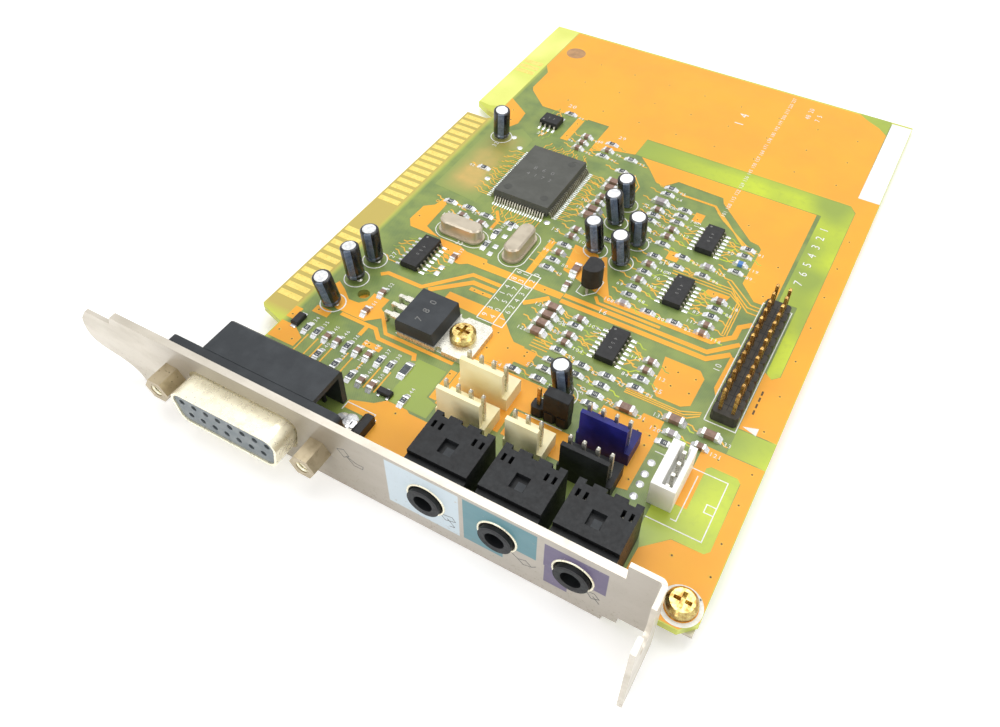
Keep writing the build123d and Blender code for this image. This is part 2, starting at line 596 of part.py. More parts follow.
# audio jacks
for index in range(3):
    jack_x = JACK_X + index * JACK_PITCH
    with BuildPart() as audio_jack:
        with BuildSketch(Plane.YZ.offset(jack_x - JACK_WIDTH / 2)):
            with BuildLine():
                Polyline(
                    (plate_back, board_top),
                    (JACK_BACK, board_top),
                    (JACK_BACK, JACK_TOP),
                    (plate_back + JACK_STEP, JACK_TOP),
                    (plate_back + JACK_STEP, JACK_TOP - JACK_STEP_DROP),
                    (plate_back, JACK_TOP - JACK_STEP_DROP),
                    close=True,
                )
            make_face()
        extrude(amount=JACK_WIDTH)
        with BuildSketch(Plane.XZ.offset(-plate_back)):
            with Locations((jack_x, JACK_Z)):
                Circle(NOSE / 2)
        extrude(amount=SHEET + NOSE_REACH)
        # cavity for the springs, open underneath
        with BuildSketch(Plane.XY.offset(board_top)):
            with Locations((jack_x, JACK_BACK - 1.2)):
                Rectangle(JACK_WIDTH - 2.4, JACK_CAVITY, align=(Align.CENTER, Align.MAX))
        extrude(amount=JACK_TOP - 1.3 - board_top, mode=Mode.SUBTRACT)
        # window in the roof, slots over the springs and notches at the rear
        with BuildSketch(Plane.XY.offset(JACK_TOP)):
            with Locations((jack_x, 5.65)):
                Rectangle(2.6, 3.0)
            with Locations((jack_x, JACK_BACK - 2.8)):
                with GridLocations(7.9, 1, 2, 1):
                    with GridLocations(1.4, 1, 2, 1):
                        Rectangle(0.6, 1.5)
        extrude(amount=-1.6, mode=Mode.SUBTRACT)
        with BuildSketch(Plane.XY.offset(JACK_TOP)):
            with Locations((jack_x, JACK_BACK - JACK_NOTCH / 2)):
                with GridLocations(3.7, 1, 3, 1):
                    Rectangle(1.3, JACK_NOTCH)
        extrude(amount=-3.2, mode=Mode.SUBTRACT)
        with BuildSketch(Plane.XZ.offset(NOSE_REACH - FACE_Y)):
            with Locations((jack_x, JACK_Z)):
                Circle(JACK_BORE / 2)
        extrude(amount=FACE_Y - NOSE_REACH - 3.4, mode=Mode.SUBTRACT)
    audio_jack.part.label = f"audio_jack_{index + 1}"
    export_step(audio_jack.part, f"parts/audio_jack_{index + 1}.step")

# leaf springs of the jacks, with tails through the board
with BuildPart() as jack_springs:
    for jack_x in (JACK_X, JACK_X + JACK_PITCH, JACK_X + 2 * JACK_PITCH):
        for side in (-1, 1):
            with BuildSketch(Plane.XY.offset(1.6)):
                with BuildLine():
                    Polyline(
                        (jack_x + side * 3.9, spring_back),
                        (jack_x + side * 2.9, spring_back),
                        (jack_x + side * 2.1, spring_back - 4.4),
                        (jack_x + side * 2.7, spring_back - 5.8),
                        (jack_x + side * 3.0, spring_back - 5.6),
                        (jack_x + side * 2.45, spring_back - 4.4),
                        (jack_x + side * 3.15, spring_back - SPRING_SHEET),
                        (jack_x + side * 3.9, spring_back - SPRING_SHEET),
                        close=True,
                    )
                make_face()
            extrude(amount=4.0)
            with BuildSketch(Plane.XY.offset(tail_end)):
                with Locations((jack_x + side * SPRING_REACH, spring_back - SPRING_SHEET / 2)):
                    Rectangle(0.8, SPRING_SHEET)
            extrude(amount=2.0 - tail_end)
jack_springs.part.label = "jack_springs"
export_step(jack_springs.part, "parts/jack_springs.step")

# two-row pin header
with BuildPart() as header_block:
    with BuildSketch(Plane.XY.offset(board_top)):
        with Locations((HEADER_X + PITCH / 2, header_mid)):
            Rectangle(2 * PITCH, HEADER_ROWS * PITCH)
            with GridLocations(2 * PITCH, PITCH, 2, HEADER_ROWS + 1):
                Rectangle(0.7, 0.7, rotation=45, mode=Mode.SUBTRACT)
            with GridLocations(PITCH, PITCH, 2, HEADER_ROWS):
                Rectangle(PIN, PIN, mode=Mode.SUBTRACT)
    extrude(amount=HEADER_HEIGHT - board_top)
header_block.part.label = "header_block"
export_step(header_block.part, "parts/header_block.step")

with BuildPart() as header_pins:
    with BuildSketch(Plane.XY.offset(-PIN_BELOW)):
        with Locations((HEADER_X + PITCH / 2, header_mid)):
            with GridLocations(PITCH, PITCH, 2, HEADER_ROWS):
                Rectangle(PIN, PIN)
    extrude(amount=HEADER_TIP + PIN_BELOW - PIN_POINT)
    with BuildSketch(Plane.XY.offset(HEADER_TIP - PIN_POINT)):
        with Locations((HEADER_X + PITCH / 2, header_mid)):
            with GridLocations(PITCH, PITCH, 2, HEADER_ROWS):
                Rectangle(PIN, PIN)
    extrude(amount=PIN_POINT, taper=28)
header_pins.part.label = "header_pins"
export_step(header_pins.part, "parts/header_pins.step")

# friction-lock wafers
for name, count, x_last, pin_y in WAFERS:
    with BuildPart() as wafer:
        with BuildSketch(Plane.XY.offset(board_top)):
            with Locations((x_last + PITCH / 2, pin_y - WAFER_FRONT)):
                Rectangle(count * PITCH, WAFER_DEPTH, align=(Align.MAX, Align.MIN))
        extrude(amount=WAFER_BASE - board_top)
        with BuildSketch(Plane.YZ.offset(x_last + PIN / 2)):
            with BuildLine():
                Polyline(
                    (pin_y - WAFER_FRONT, WAFER_BASE - 0.5),
                    (pin_y - WAFER_FRONT + RAMP_THICKNESS, WAFER_BASE - 0.5),
                    (pin_y - WAFER_FRONT + RAMP_THICKNESS, RAMP_HEIGHT - 2.2),
                    (pin_y - WAFER_FRONT + RAMP_THICKNESS + 0.4, RAMP_HEIGHT - 1.7),
                    (pin_y - WAFER_FRONT + RAMP_THICKNESS - 0.1, RAMP_HEIGHT),
                    (pin_y - WAFER_FRONT, RAMP_HEIGHT),
                    close=True,
                )
            make_face()
        extrude(amount=-(count - 1) * PITCH - PIN / 2 - PITCH / 2 + 0.4)
        with BuildSketch(Plane.XY.offset(board_top)):
            with Locations((x_last - PITCH * (count - 1) / 2, pin_y)):
                with GridLocations(PITCH, 1, count, 1):
                    Rectangle(PIN, PIN)
        extrude(amount=WAFER_BASE, mode=Mode.SUBTRACT)
    wafer.part.label = name
    export_step(wafer.part, f"parts/{name}.step")

# box wafer with its open slot
with BuildPart() as box_wafer:
    with BuildSketch(Plane.XY.offset(board_top)):
        with Locations((BOX_LEFT, BOX_Y)):
            Rectangle(BOX_RIGHT - BOX_LEFT, BOX_LENGTH, align=(Align.MIN, Align.CENTER))
    extrude(amount=BOX_HEIGHT - board_top)
    with BuildSketch(Plane.XY.offset(BOX_HEIGHT)):
        with Locations((BOX_X, BOX_Y)):
            Rectangle(1.9, BOX_LENGTH - 1.4)
        with Locations((BOX_X, BOX_Y + BOX_LENGTH / 2)):
            Rectangle(0.9, 3.0)
    extrude(amount=-BOX_HEIGHT + 1.5, mode=Mode.SUBTRACT)
    with BuildSketch(Plane.XY.offset(board_top)):
        with Locations((BOX_X, BOX_Y)):
            with GridLocations(1, PITCH, 1, 4):
                Rectangle(PIN, PIN)
    extrude(amount=BOX_HEIGHT, mode=Mode.SUBTRACT)
box_wafer.part.label = "box_wafer"
export_step(box_wafer.part, "parts/box_wafer.step")

# square pins of the wafers
with BuildPart() as wafer_pins:
    for name, count, x_last, pin_y in WAFERS:
        with BuildSketch(Plane.XY.offset(-PIN_BELOW)):
            with Locations((x_last - PITCH * (count - 1) / 2, pin_y)):
                with GridLocations(PITCH, 1, count, 1):
                    Rectangle(PIN, PIN)
        extrude(amount=WAFER_TIP + PIN_BELOW - PIN_POINT)
        with BuildSketch(Plane.XY.offset(WAFER_TIP - PIN_POINT)):
            with Locations((x_last - PITCH * (count - 1) / 2, pin_y)):
                with GridLocations(PITCH, 1, count, 1):
                    Rectangle(PIN, PIN)
        extrude(amount=PIN_POINT, taper=28)
    with BuildSketch(Plane.XY.offset(-PIN_BELOW)):
        with Locations((BOX_X, BOX_Y)):
            with GridLocations(1, PITCH, 1, 4):
                Rectangle(PIN, PIN)
    extrude(amount=BOX_HEIGHT - 0.8 + PIN_BELOW)
wafer_pins.part.label = "wafer_pins"
export_step(wafer_pins.part, "parts/wafer_pins.step")

# jumper block, its pins and the cap over two of them
with BuildPart() as jumper_block:
    with BuildSketch(Plane.XY.offset(board_top)):
        with Locations((JUMPER_X + PITCH, JUMPER_Y)):
            Rectangle(3 * PITCH, PITCH)
            with GridLocations(PITCH, PITCH, 4, 2):
                Rectangle(0.7, 0.7, rotation=45, mode=Mode.SUBTRACT)
            with GridLocations(PITCH, 1, 3, 1):
                Rectangle(PIN, PIN, mode=Mode.SUBTRACT)
    extrude(amount=HEADER_HEIGHT - board_top)
jumper_block.part.label = "jumper_block"
export_step(jumper_block.part, "parts/jumper_block.step")

with BuildPart() as jumper_pins:
    with BuildSketch(Plane.XY.offset(-PIN_BELOW)):
        with Locations((JUMPER_X + PITCH, JUMPER_Y)):
            with GridLocations(PITCH, 1, 3, 1):
                Rectangle(PIN, PIN)
    extrude(amount=JUMPER_TIP + PIN_BELOW)
jumper_pins.part.label = "jumper_pins"
export_step(jumper_pins.part, "parts/jumper_pins.step")

with BuildPart() as jumper_cap:
    with BuildSketch(Plane.XY.offset(HEADER_HEIGHT)):
        with Locations((JUMPER_X + 1.5 * PITCH, JUMPER_Y)):
            Rectangle(2 * PITCH - 0.1, PITCH - 0.3)
            with GridLocations(PITCH, 1, 2, 1):
                Rectangle(1.2, 1.2, mode=Mode.SUBTRACT)
    extrude(amount=CAP_HEIGHT)
jumper_cap.part.label = "jumper_cap"
export_step(jumper_cap.part, "parts/jumper_cap.step")

# electrolytic capacitors, each leaning a little on its leads
for index, (x, y, lean_x, lean_y) in enumerate(CANS):
    with BuildPart() as capacitor:
        with BuildSketch(Plane.XZ):
            with BuildLine():
                Polyline(
                    (0, CAN_LIFT),
                    (CAN_DIAMETER / 2, CAN_LIFT),
                    (CAN_DIAMETER / 2, CAN_LIFT + CAN_HEIGHT - 0.25),
                    (CAN_DIAMETER / 2 - 0.3, CAN_LIFT + CAN_HEIGHT),
                    (0, CAN_LIFT + CAN_HEIGHT),
                    close=True,
                )
            make_face()
        revolve(axis=Axis.Z)
    with BuildPart() as leaning:
        add(Location((x, y, 0), (lean_x, lean_y, 0)) * capacitor.part)
        with BuildSketch(Plane.XY.offset(tail_end)):
            with Locations((x, y)):
                with GridLocations(CAN_LEAD_PITCH, 1, 2, 1):
                    Rectangle(LEAD, LEAD)
        extrude(amount=CAN_LIFT + 0.6 - tail_end)
    leaning.part.label = f"capacitor_{index + 1}"
    export_step(leaning.part, f"parts/capacitor_{index + 1}.step")

# large square chip
with BuildPart() as main_chip:
    with BuildSketch(Plane.XY.offset(CHIP_LEAD_Z)):
        with Locations((CHIP_X, CHIP_Y)):
            Rectangle(CHIP_WIDTH, CHIP_LENGTH)
    extrude(amount=CHIP_HEIGHT - CHIP_LEAD_Z, taper=5)
    with BuildSketch(Plane.XY.offset(CHIP_LEAD_Z)):
        with Locations((CHIP_X, CHIP_Y)):
            Rectangle(CHIP_WIDTH, CHIP_LENGTH)
    extrude(amount=BODY_LIFT - CHIP_LEAD_Z, taper=5)
    with BuildSketch(Plane.XY.offset(CHIP_HEIGHT)):
        with Locations((CHIP_X, CHIP_Y)):
            for side_x, side_y in ((-1, -1), (1, 1)):
                with Locations((side_x * (CHIP_WIDTH / 2 - 2.2), side_y * (CHIP_LENGTH / 2 - 2.2))):
                    Circle(0.9)
    extrude(amount=-0.06, mode=Mode.SUBTRACT)
main_chip.part.label = "main_chip"
export_step(main_chip.part, "parts/main_chip.step")

# its gull-wing leads, one drawn and repeated on four sides
with BuildPart() as gull_lead:
    with BuildSketch(Plane.XZ.offset(-CHIP_LEAD_WIDTH / 2)):
        with BuildLine():
            Polyline(
                (0, CHIP_LEAD_Z - 0.1),
                (0, CHIP_LEAD_Z + 0.1),
                (0.45, CHIP_LEAD_Z + 0.1),
                (1.05, 0.17),
                (CHIP_LEAD_REACH, 0),
                (0.9, 0),
                close=True,
            )
        make_face()
    extrude(amount=CHIP_LEAD_WIDTH)
with BuildPart() as main_chip_leads:
    for angle, edge, count in (
        (0, CHIP_WIDTH / 2, CHIP_LEADS_LONG),
        (90, CHIP_LENGTH / 2, CHIP_LEADS_SHORT),
        (180, CHIP_WIDTH / 2, CHIP_LEADS_LONG),
        (270, CHIP_LENGTH / 2, CHIP_LEADS_SHORT),
    ):
        with Locations(Location((CHIP_X, CHIP_Y, 0), (0, 0, angle))):
            with Locations((edge, 0)):
                with GridLocations(1, CHIP_PITCH, 1, count):
                    add(gull_lead.part)
main_chip_leads.part.label = "main_chip_leads"
export_step(main_chip_leads.part, "parts/main_chip_leads.step")

# small-outline chips
for name, x, y, count, angle in SMALL_CHIPS:
    with BuildPart() as small_chip:
        with BuildSketch(Plane.XY.offset(SMALL_LEAD_Z)):
            with Locations(Location((x, y, 0), (0, 0, angle))):
                Rectangle(SMALL_WIDTH, count * SMALL_PITCH - 0.15)
        extrude(amount=SMALL_HEIGHT - SMALL_LEAD_Z, taper=6)
        with BuildSketch(Plane.XY.offset(SMALL_LEAD_Z)):
            with Locations(Location((x, y, 0), (0, 0, angle))):
                Rectangle(SMALL_WIDTH, count * SMALL_PITCH - 0.15)
        extrude(amount=BODY_LIFT - SMALL_LEAD_Z, taper=6)
    small_chip.part.label = name
    export_step(small_chip.part, f"parts/{name}.step")

with BuildPart() as small_lead:
    with BuildSketch(Plane.XZ.offset(-SMALL_LEAD_WIDTH / 2)):
        with BuildLine():
            Polyline(
                (0, SMALL_LEAD_Z - 0.1),
                (0, SMALL_LEAD_Z + 0.1),
                (0.3, SMALL_LEAD_Z + 0.1),
                (0.6, 0.2),
                (SMALL_LEAD_REACH, 0),
                (0.5, 0),
                close=True,
            )
        make_face()
    extrude(amount=SMALL_LEAD_WIDTH)
with BuildPart() as small_chip_leads:
    for name, x, y, count, turn in SMALL_CHIPS:
        for angle in (turn, turn + 180):
            with Locations(Location((x, y, 0), (0, 0, angle))):
                with Locations((SMALL_WIDTH / 2, 0)):
                    with GridLocations(1, SMALL_PITCH, 1, count):
                        add(small_lead.part)
small_chip_leads.part.label = "small_chip_leads"
export_step(small_chip_leads.part, "parts/small_chip_leads.step")

# crystals in low metal cans with a welded rim
for index, (x, y, angle) in enumerate(CRYSTALS):
    with BuildPart() as crystal:
        with BuildSketch(Plane.XY.offset(BODY_LIFT)):
            with Locations(Location((x, y, 0), (0, 0, angle))):
                SlotOverall(CRYSTAL_LENGTH, CRYSTAL_WIDTH)
        extrude(amount=0.5)
        with BuildSketch(Plane.XY.offset(BODY_LIFT + 0.5)):
            with Locations(Location((x, y, 0), (0, 0, angle))):
                SlotOverall(CRYSTAL_LENGTH - 2 * CRYSTAL_RIM, CRYSTAL_WIDTH - 2 * CRYSTAL_RIM)
        extrude(amount=CRYSTAL_HEIGHT - BODY_LIFT - 0.5)
        chamfer(crystal.edges().group_by(Axis.Z)[-1], 0.35)
        with BuildSketch(Plane.XY.offset(tail_end)):
            with Locations(Location((x, y, 0), (0, 0, angle))):
                with GridLocations(CRYSTAL_LEAD_PITCH, 1, 2, 1):
                    Rectangle(LEAD, LEAD)
        extrude(amount=BODY_LIFT + 0.2 - tail_end)
    crystal.part.label = f"crystal_{index + 1}"
    export_step(crystal.part, f"parts/crystal_{index + 1}.step")

# regulator lying on its tab, held by a screw and nut
with BuildPart() as regulator:
    with BuildSketch(Plane.XZ.offset(-REG_Y - REG_WIDTH / 2)):
        with BuildLine():
            Polyline(
                (REG_X, REG_TAB),
                (REG_X, REG_HEIGHT - 0.9),
                (REG_X + 0.25, REG_HEIGHT),
                (REG_X + REG_BODY - 0.4, REG_HEIGHT),
                (REG_X + REG_BODY, REG_TAB),
                close=True,
            )
        make_face()
    extrude(amount=REG_WIDTH)
regulator.part.label = "regulator"
export_step(regulator.part, "parts/regulator.step")

with BuildPart() as regulator_tab:
    with BuildSketch(Plane.XY) as tab_outline:
        with Locations((REG_X + 0.4, REG_Y)):
            Rectangle(REG_BODY + REG_TAB_LENGTH - 0.4, REG_WIDTH + 0.4, align=(Align.MIN, Align.CENTER))
        chamfer(tab_outline.vertices().group_by(Axis.X)[-1], 0.8)
        with Locations((REG_SCREW_X, REG_Y)):
            Circle(SCREW_SIZE / 2 + HOLE_PLAY, mode=Mode.SUBTRACT)
        with Locations((REG_X + REG_BODY + 1.0, REG_Y)):
            with GridLocations(1, REG_WIDTH + 0.4, 1, 2):
                Circle(0.8, mode=Mode.SUBTRACT)
    extrude(amount=REG_TAB)
regulator_tab.part.label = "regulator_tab"
export_step(regulator_tab.part, "parts/regulator_tab.step")

with BuildPart() as regulator_leads:
    for y in (REG_Y - PITCH, REG_Y, REG_Y + PITCH):
        with BuildSketch(Plane.XY.offset(REG_LEAD_Z)):
            with Locations((REG_X, y)):
                Rectangle(2.4, 1.3, align=(Align.MAX, Align.CENTER))
                Rectangle(REG_X - REG_LEAD_X + REG_LEAD_SHEET / 2, REG_LEAD_WIDTH, align=(Align.MAX, Align.CENTER))
        extrude(amount=-REG_LEAD_SHEET)
        with BuildSketch(Plane.XY.offset(tail_end)):
            with Locations((REG_LEAD_X, y)):
                Rectangle(REG_LEAD_SHEET, REG_LEAD_WIDTH)
        extrude(amount=REG_LEAD_Z - tail_end)
regulator_leads.part.label = "regulator_leads"
export_step(regulator_leads.part, "parts/regulator_leads.step")

with BuildPart() as regulator_screw:
    with BuildSketch(Plane.XY.offset(REG_TAB)):
        with Locations((REG_SCREW_X, REG_Y)):
            Circle(SCREW_HEAD / 2)
    extrude(amount=SCREW_HEAD_HEIGHT)
    chamfer(regulator_screw.edges().group_by(Axis.Z)[-1], 0.6)
    with BuildSketch(Plane.XY.offset(REG_TAB + SCREW_HEAD_HEIGHT)):
        with Locations((REG_SCREW_X, REG_Y)):
            Rectangle(3.0, 0.7)
            Rectangle(0.7, 3.0)
    extrude(amount=-1.1, mode=Mode.SUBTRACT)
    with BuildSketch(Plane.XY.offset(REG_TAB)):
        with Locations((REG_SCREW_X, REG_Y)):
            Circle(SCREW_SIZE / 2)
    extrude(amount=underside - NUT_HEIGHT - 0.6 - REG_TAB)
regulator_screw.part.label = "regulator_screw"
export_step(regulator_screw.part, "parts/regulator_screw.step")

with BuildPart() as regulator_nut:
    with BuildSketch(Plane.XY.offset(underside)):
        with Locations((REG_SCREW_X, REG_Y)):
            RegularPolygon(NUT_FLATS / 2, 6, major_radius=False)
            Circle(SCREW_SIZE / 2 + FIT, mode=Mode.SUBTRACT)
    extrude(amount=-NUT_HEIGHT)
regulator_nut.part.label = "regulator_nut"
export_step(regulator_nut.part, "parts/regulator_nut.step")

# transistor with a flat front, raised on three leads
with BuildPart() as transistor:
    with BuildSketch(Plane.XY.offset(TRANSISTOR_LIFT)):
        with Locations((TRANSISTOR_X, TRANSISTOR_Y)):
            Circle(TRANSISTOR_SIZE / 2)
        with Locations((TRANSISTOR_X - 1.5, TRANSISTOR_Y)):
            Rectangle(3, TRANSISTOR_SIZE, align=(Align.MAX, Align.CENTER), mode=Mode.SUBTRACT)
    extrude(amount=TRANSISTOR_HEIGHT)
    with BuildSketch(Plane.XY.offset(tail_end)):
        with Locations((TRANSISTOR_X, TRANSISTOR_Y)):
            with GridLocations(1, TRANSISTOR_PITCH, 1, 3):
                Rectangle(LEAD, LEAD)
    extrude(amount=TRANSISTOR_LIFT + 0.3 - tail_end)
transistor.part.label = "transistor"
export_step(transistor.part, "parts/transistor.step")

# choke by the gameport, bevelled on the left
with BuildPart() as choke:
    with BuildSketch(Plane.XY):
        with Locations((CHOKE[0], CHOKE[1])):
            Rectangle(CHOKE[2], CHOKE[3])
    extrude(amount=CHOKE[4])
    chamfer(choke.edges().group_by(Axis.Z)[-1].sort_by(Axis.X)[0], CHOKE_BEVEL)
choke.part.label = "choke"
export_step(choke.part, "parts/choke.step")

# small diode and small transistor
for name, (x, y, width, length, height) in (("small_diode", SMALL_DIODE), ("small_transistor", SMALL_TRANSISTOR)):
    with BuildPart() as block:
        with BuildSketch(Plane.XY):
            with Locations((x, y)):
                Rectangle(width, length)
        extrude(amount=height)
        chamfer(block.edges().group_by(Axis.Z)[-1], 0.15)
    block.part.label = name
    export_step(block.part, f"parts/{name}.step")

# chip resistors
with BuildPart() as resistors:
    with BuildSketch(Plane.XY):
        for x, column in RESISTOR_COLUMNS:
            for y in column:
                with Locations((x, y)):
                    Rectangle(*CHIP_PART)
        with Locations(*TURNED_RESISTORS):
            Rectangle(*CHIP_PART, rotation=90)
        with Locations(LARGE_RESISTOR):
            Rectangle(*LARGE_PART, rotation=90)
    extrude(amount=RESISTOR_HEIGHT)
resistors.part.label = "resistors"
export_step(resistors.part, "parts/resistors.step")

# chip capacitors, small and large
with BuildPart() as ceramic_capacitors:
    with BuildSketch(Plane.XY):
        for x, column in CERAMIC_COLUMNS:
            for y in column:
                with Locations((x, y)):
                    Rectangle(*CHIP_PART)
        with Locations(*TURNED_CERAMICS):
            Rectangle(*CHIP_PART, rotation=90)
    extrude(amount=CERAMIC_HEIGHT)
    with BuildSketch(Plane.XY):
        for x, column in LARGE_COLUMNS:
            for y in column:
                with Locations((x, y)):
                    Rectangle(*LARGE_PART)
        with Locations(*TURNED_LARGE):
            Rectangle(*LARGE_PART, rotation=90)
    extrude(amount=LARGE_HEIGHT)
ceramic_capacitors.part.label = "ceramic_capacitors"
export_step(ceramic_capacitors.part, "parts/ceramic_capacitors.step")

# paper label along the top edge
with BuildPart() as label:
    with BuildSketch(Plane.XY):
        with Locations((LABEL_X, LABEL_Y)):
            Rectangle(LABEL_WIDTH, LABEL_LENGTH)
    extrude(amount=LABEL_THICKNESS)
label.part.label = "label"
export_step(label.part, "parts/label.step")
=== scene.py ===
"""Looks of an ISA sound card: finishes, print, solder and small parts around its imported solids."""
import logging
import math
from dataclasses import dataclass
from enum import Enum
from functools import lru_cache
from typing import Iterable, Sequence

import bmesh
import bpy
from mathutils import Matrix, Vector


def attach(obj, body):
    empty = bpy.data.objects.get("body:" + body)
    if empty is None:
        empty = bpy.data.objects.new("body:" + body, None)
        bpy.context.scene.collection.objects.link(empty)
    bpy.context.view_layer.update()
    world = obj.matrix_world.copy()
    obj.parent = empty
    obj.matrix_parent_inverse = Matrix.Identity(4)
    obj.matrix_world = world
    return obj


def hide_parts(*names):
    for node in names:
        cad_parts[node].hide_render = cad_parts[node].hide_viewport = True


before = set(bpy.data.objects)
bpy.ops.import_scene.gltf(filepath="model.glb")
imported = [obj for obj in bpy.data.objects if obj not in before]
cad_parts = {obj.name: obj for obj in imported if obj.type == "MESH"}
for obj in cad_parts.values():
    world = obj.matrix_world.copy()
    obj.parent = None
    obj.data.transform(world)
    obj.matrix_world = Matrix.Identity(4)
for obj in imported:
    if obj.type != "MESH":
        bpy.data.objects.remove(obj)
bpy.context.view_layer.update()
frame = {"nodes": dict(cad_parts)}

LOG = logging.getLogger("sound_card")
BODY = "root"
MM = 0.001
# sizes in mm: pitch of pins and of the small chips' leads, height of the board's far side, y of the
# bracket's front, x and height of the jacks
PITCH, LEAD_PITCH = 2.54, 1.27
UNDERSIDE, BRACKET_FACE = -1.6, -1.6
JACKS, JACK_AXIS = (55.5, 69.0, 82.5), 3.5
QUARTER = math.pi / 2
WELD = 0.0005
SMOOTH_BELOW = math.radians(38)
# numbers of the mix node's colour sockets
MIX_FIRST, MIX_SECOND, MIX_RESULT = 6, 7, 2
WHITE = (1.0, 1.0, 1.0, 1.0)

Mesh = bmesh.types.BMesh
Verts = list[bmesh.types.BMVert]
Socket = bpy.types.NodeSocket
Point = tuple[float, float]
Path = tuple[Point, ...]
Colour = tuple[float, float, float]
Levels = tuple[int, int, int]


def linear(*levels: int) -> Colour:
    """Turns display levels from 0 to 255 into the linear colour that a shader takes."""
    shares = [level / 255 for level in levels]
    return tuple(v / 12.92 if v <= 0.04045 else ((v + 0.055) / 1.055) ** 2.4 for v in shares)


class Run(Enum):
    """Direction of a small part's long side, as a turn about Z."""

    ALONG_BRACKET = 0.0
    ALONG_BOARD = QUARTER


# ---- finishes


class Tree:
    """Short way to add and join the nodes of a node tree."""

    def __init__(self, tree: bpy.types.NodeTree) -> None:
        """Keeps the tree."""
        self.tree = tree

    def add(self, kind: str, inputs: dict[str | int, object] | None = None,
            **settings: object) -> bpy.types.Node:
        """Adds a node, sets its properties and feeds its inputs.

        Args:
            kind: Blender's name of the node.
            inputs: What goes into each input.
            **settings: Property values.

        Returns:
            The node.
        """
        node = self.tree.nodes.new(kind)
        for key, value in settings.items():
            setattr(node, key, value)
        self.feed(node, inputs or {})
        return node

    def feed(self, node: bpy.types.Node, inputs: dict[str | int, object]) -> None:
        """Feeds the inputs of a node.

        Args:
            node: The node.
            inputs: A value or another node's output for each input, by its name or number.
        """
        for key, value in inputs.items():
            if isinstance(value, Socket):
                self.tree.links.new(value, node.inputs[key])
            else:
                node.inputs[key].default_value = value

    def combine(self, first: Socket, second: Socket, operation: str = "MULTIPLY") -> Socket:
        """Combines two values, by multiplying them unless another operation is named."""
        return self.add("ShaderNodeMath", {0: first, 1: second}, operation=operation).outputs[0]


class Nodes(Tree):
    """Shader nodes of one material, laid out on the object's own coordinates."""

    def __init__(self, name: str) -> None:
        """Starts a material with one Principled shader.

        Args:
            name: Name of the material.
        """
        self.material = bpy.data.materials.new(name)
        self.material.use_nodes = True
        super().__init__(self.material.node_tree)
        self.shader = self.tree.nodes["Principled BSDF"]
        self.place = self.add("ShaderNodeTexCoord").outputs["Object"]

    def noise(self, scale: float, detail: float, stretch: Sequence[float] = (1, 1, 1),
              rough: float = 0.55) -> Socket:
        """Gives noise of so many cells in a metre, octaves, stretch by axis and weight of fine octaves."""
        place = self.add("ShaderNodeMapping", {"Vector": self.place, "Scale": stretch}).outputs["Vector"]
        return self.add("ShaderNodeTexNoise", {"Vector": place, "Scale": scale, "Detail": detail,
                                               "Roughness": rough}).outputs["Fac"]

    def ramp(self, value: Socket, low: float, high: float, start: float = 0.0, end: float = 1.0) -> Socket:
        """Maps a value so that low gives start and high gives end, held at both ends."""
        return self.add("ShaderNodeMapRange", {"Value": value, "From Min": low, "From Max": high,
                                               "To Min": start, "To Max": end}, clamp=True).outputs["Result"]

    def blend(self, share: Socket, first: Colour | Socket, second: Colour | Socket) -> Socket:
        """Mixes two colours.

        Args:
            share: How much of the second colour shows.
            first: Colour at 0.
            second: Colour at 1.

        Returns:
            The mixed colour.
        """
        sides = [(*side, 1.0) if isinstance(side, tuple) else side for side in (first, second)]
        node = self.add("ShaderNodeMix", data_type="RGBA")
        self.feed(node, {"Factor": share, MIX_FIRST: sides[0], MIX_SECOND: sides[1]})
        return node.outputs[MIX_RESULT]

    def axis(self, letter: str) -> Socket:
        """Gives one object coordinate in metres."""
        return self.add("ShaderNodeSeparateXYZ", {0: self.place}).outputs[letter]

    def between(self, letter: str, low: float, high: float, soft: float = 0.06) -> Socket:
        """Gives 1 between two coordinates and 0 outside.

        Args:
            letter: Axis, X, Y or Z.
            low: Lower edge in mm.
            high: Upper edge in mm.
            soft: Half the width of each edge in mm.

        Returns:
            The mask.
        """
        value = self.axis(letter)
        rise = self.ramp(value, (low - soft) * MM, (low + soft) * MM)
        fall = self.ramp(value, (high - soft) * MM, (high + soft) * MM, 1.0, 0.0)
        return self.combine(rise, fall)

    def field(self, left: float, right: float, low: float, high: float, upright: str = "Z",
              soft: Sequence[float] = (0.06, 0.06)) -> Socket:
        """Gives 1 within an oblong of X and another axis, with edges of two softnesses, in mm."""
        return self.combine(self.between("X", left, right, soft[0]),
                            self.between(upright, low, high, soft[1]))


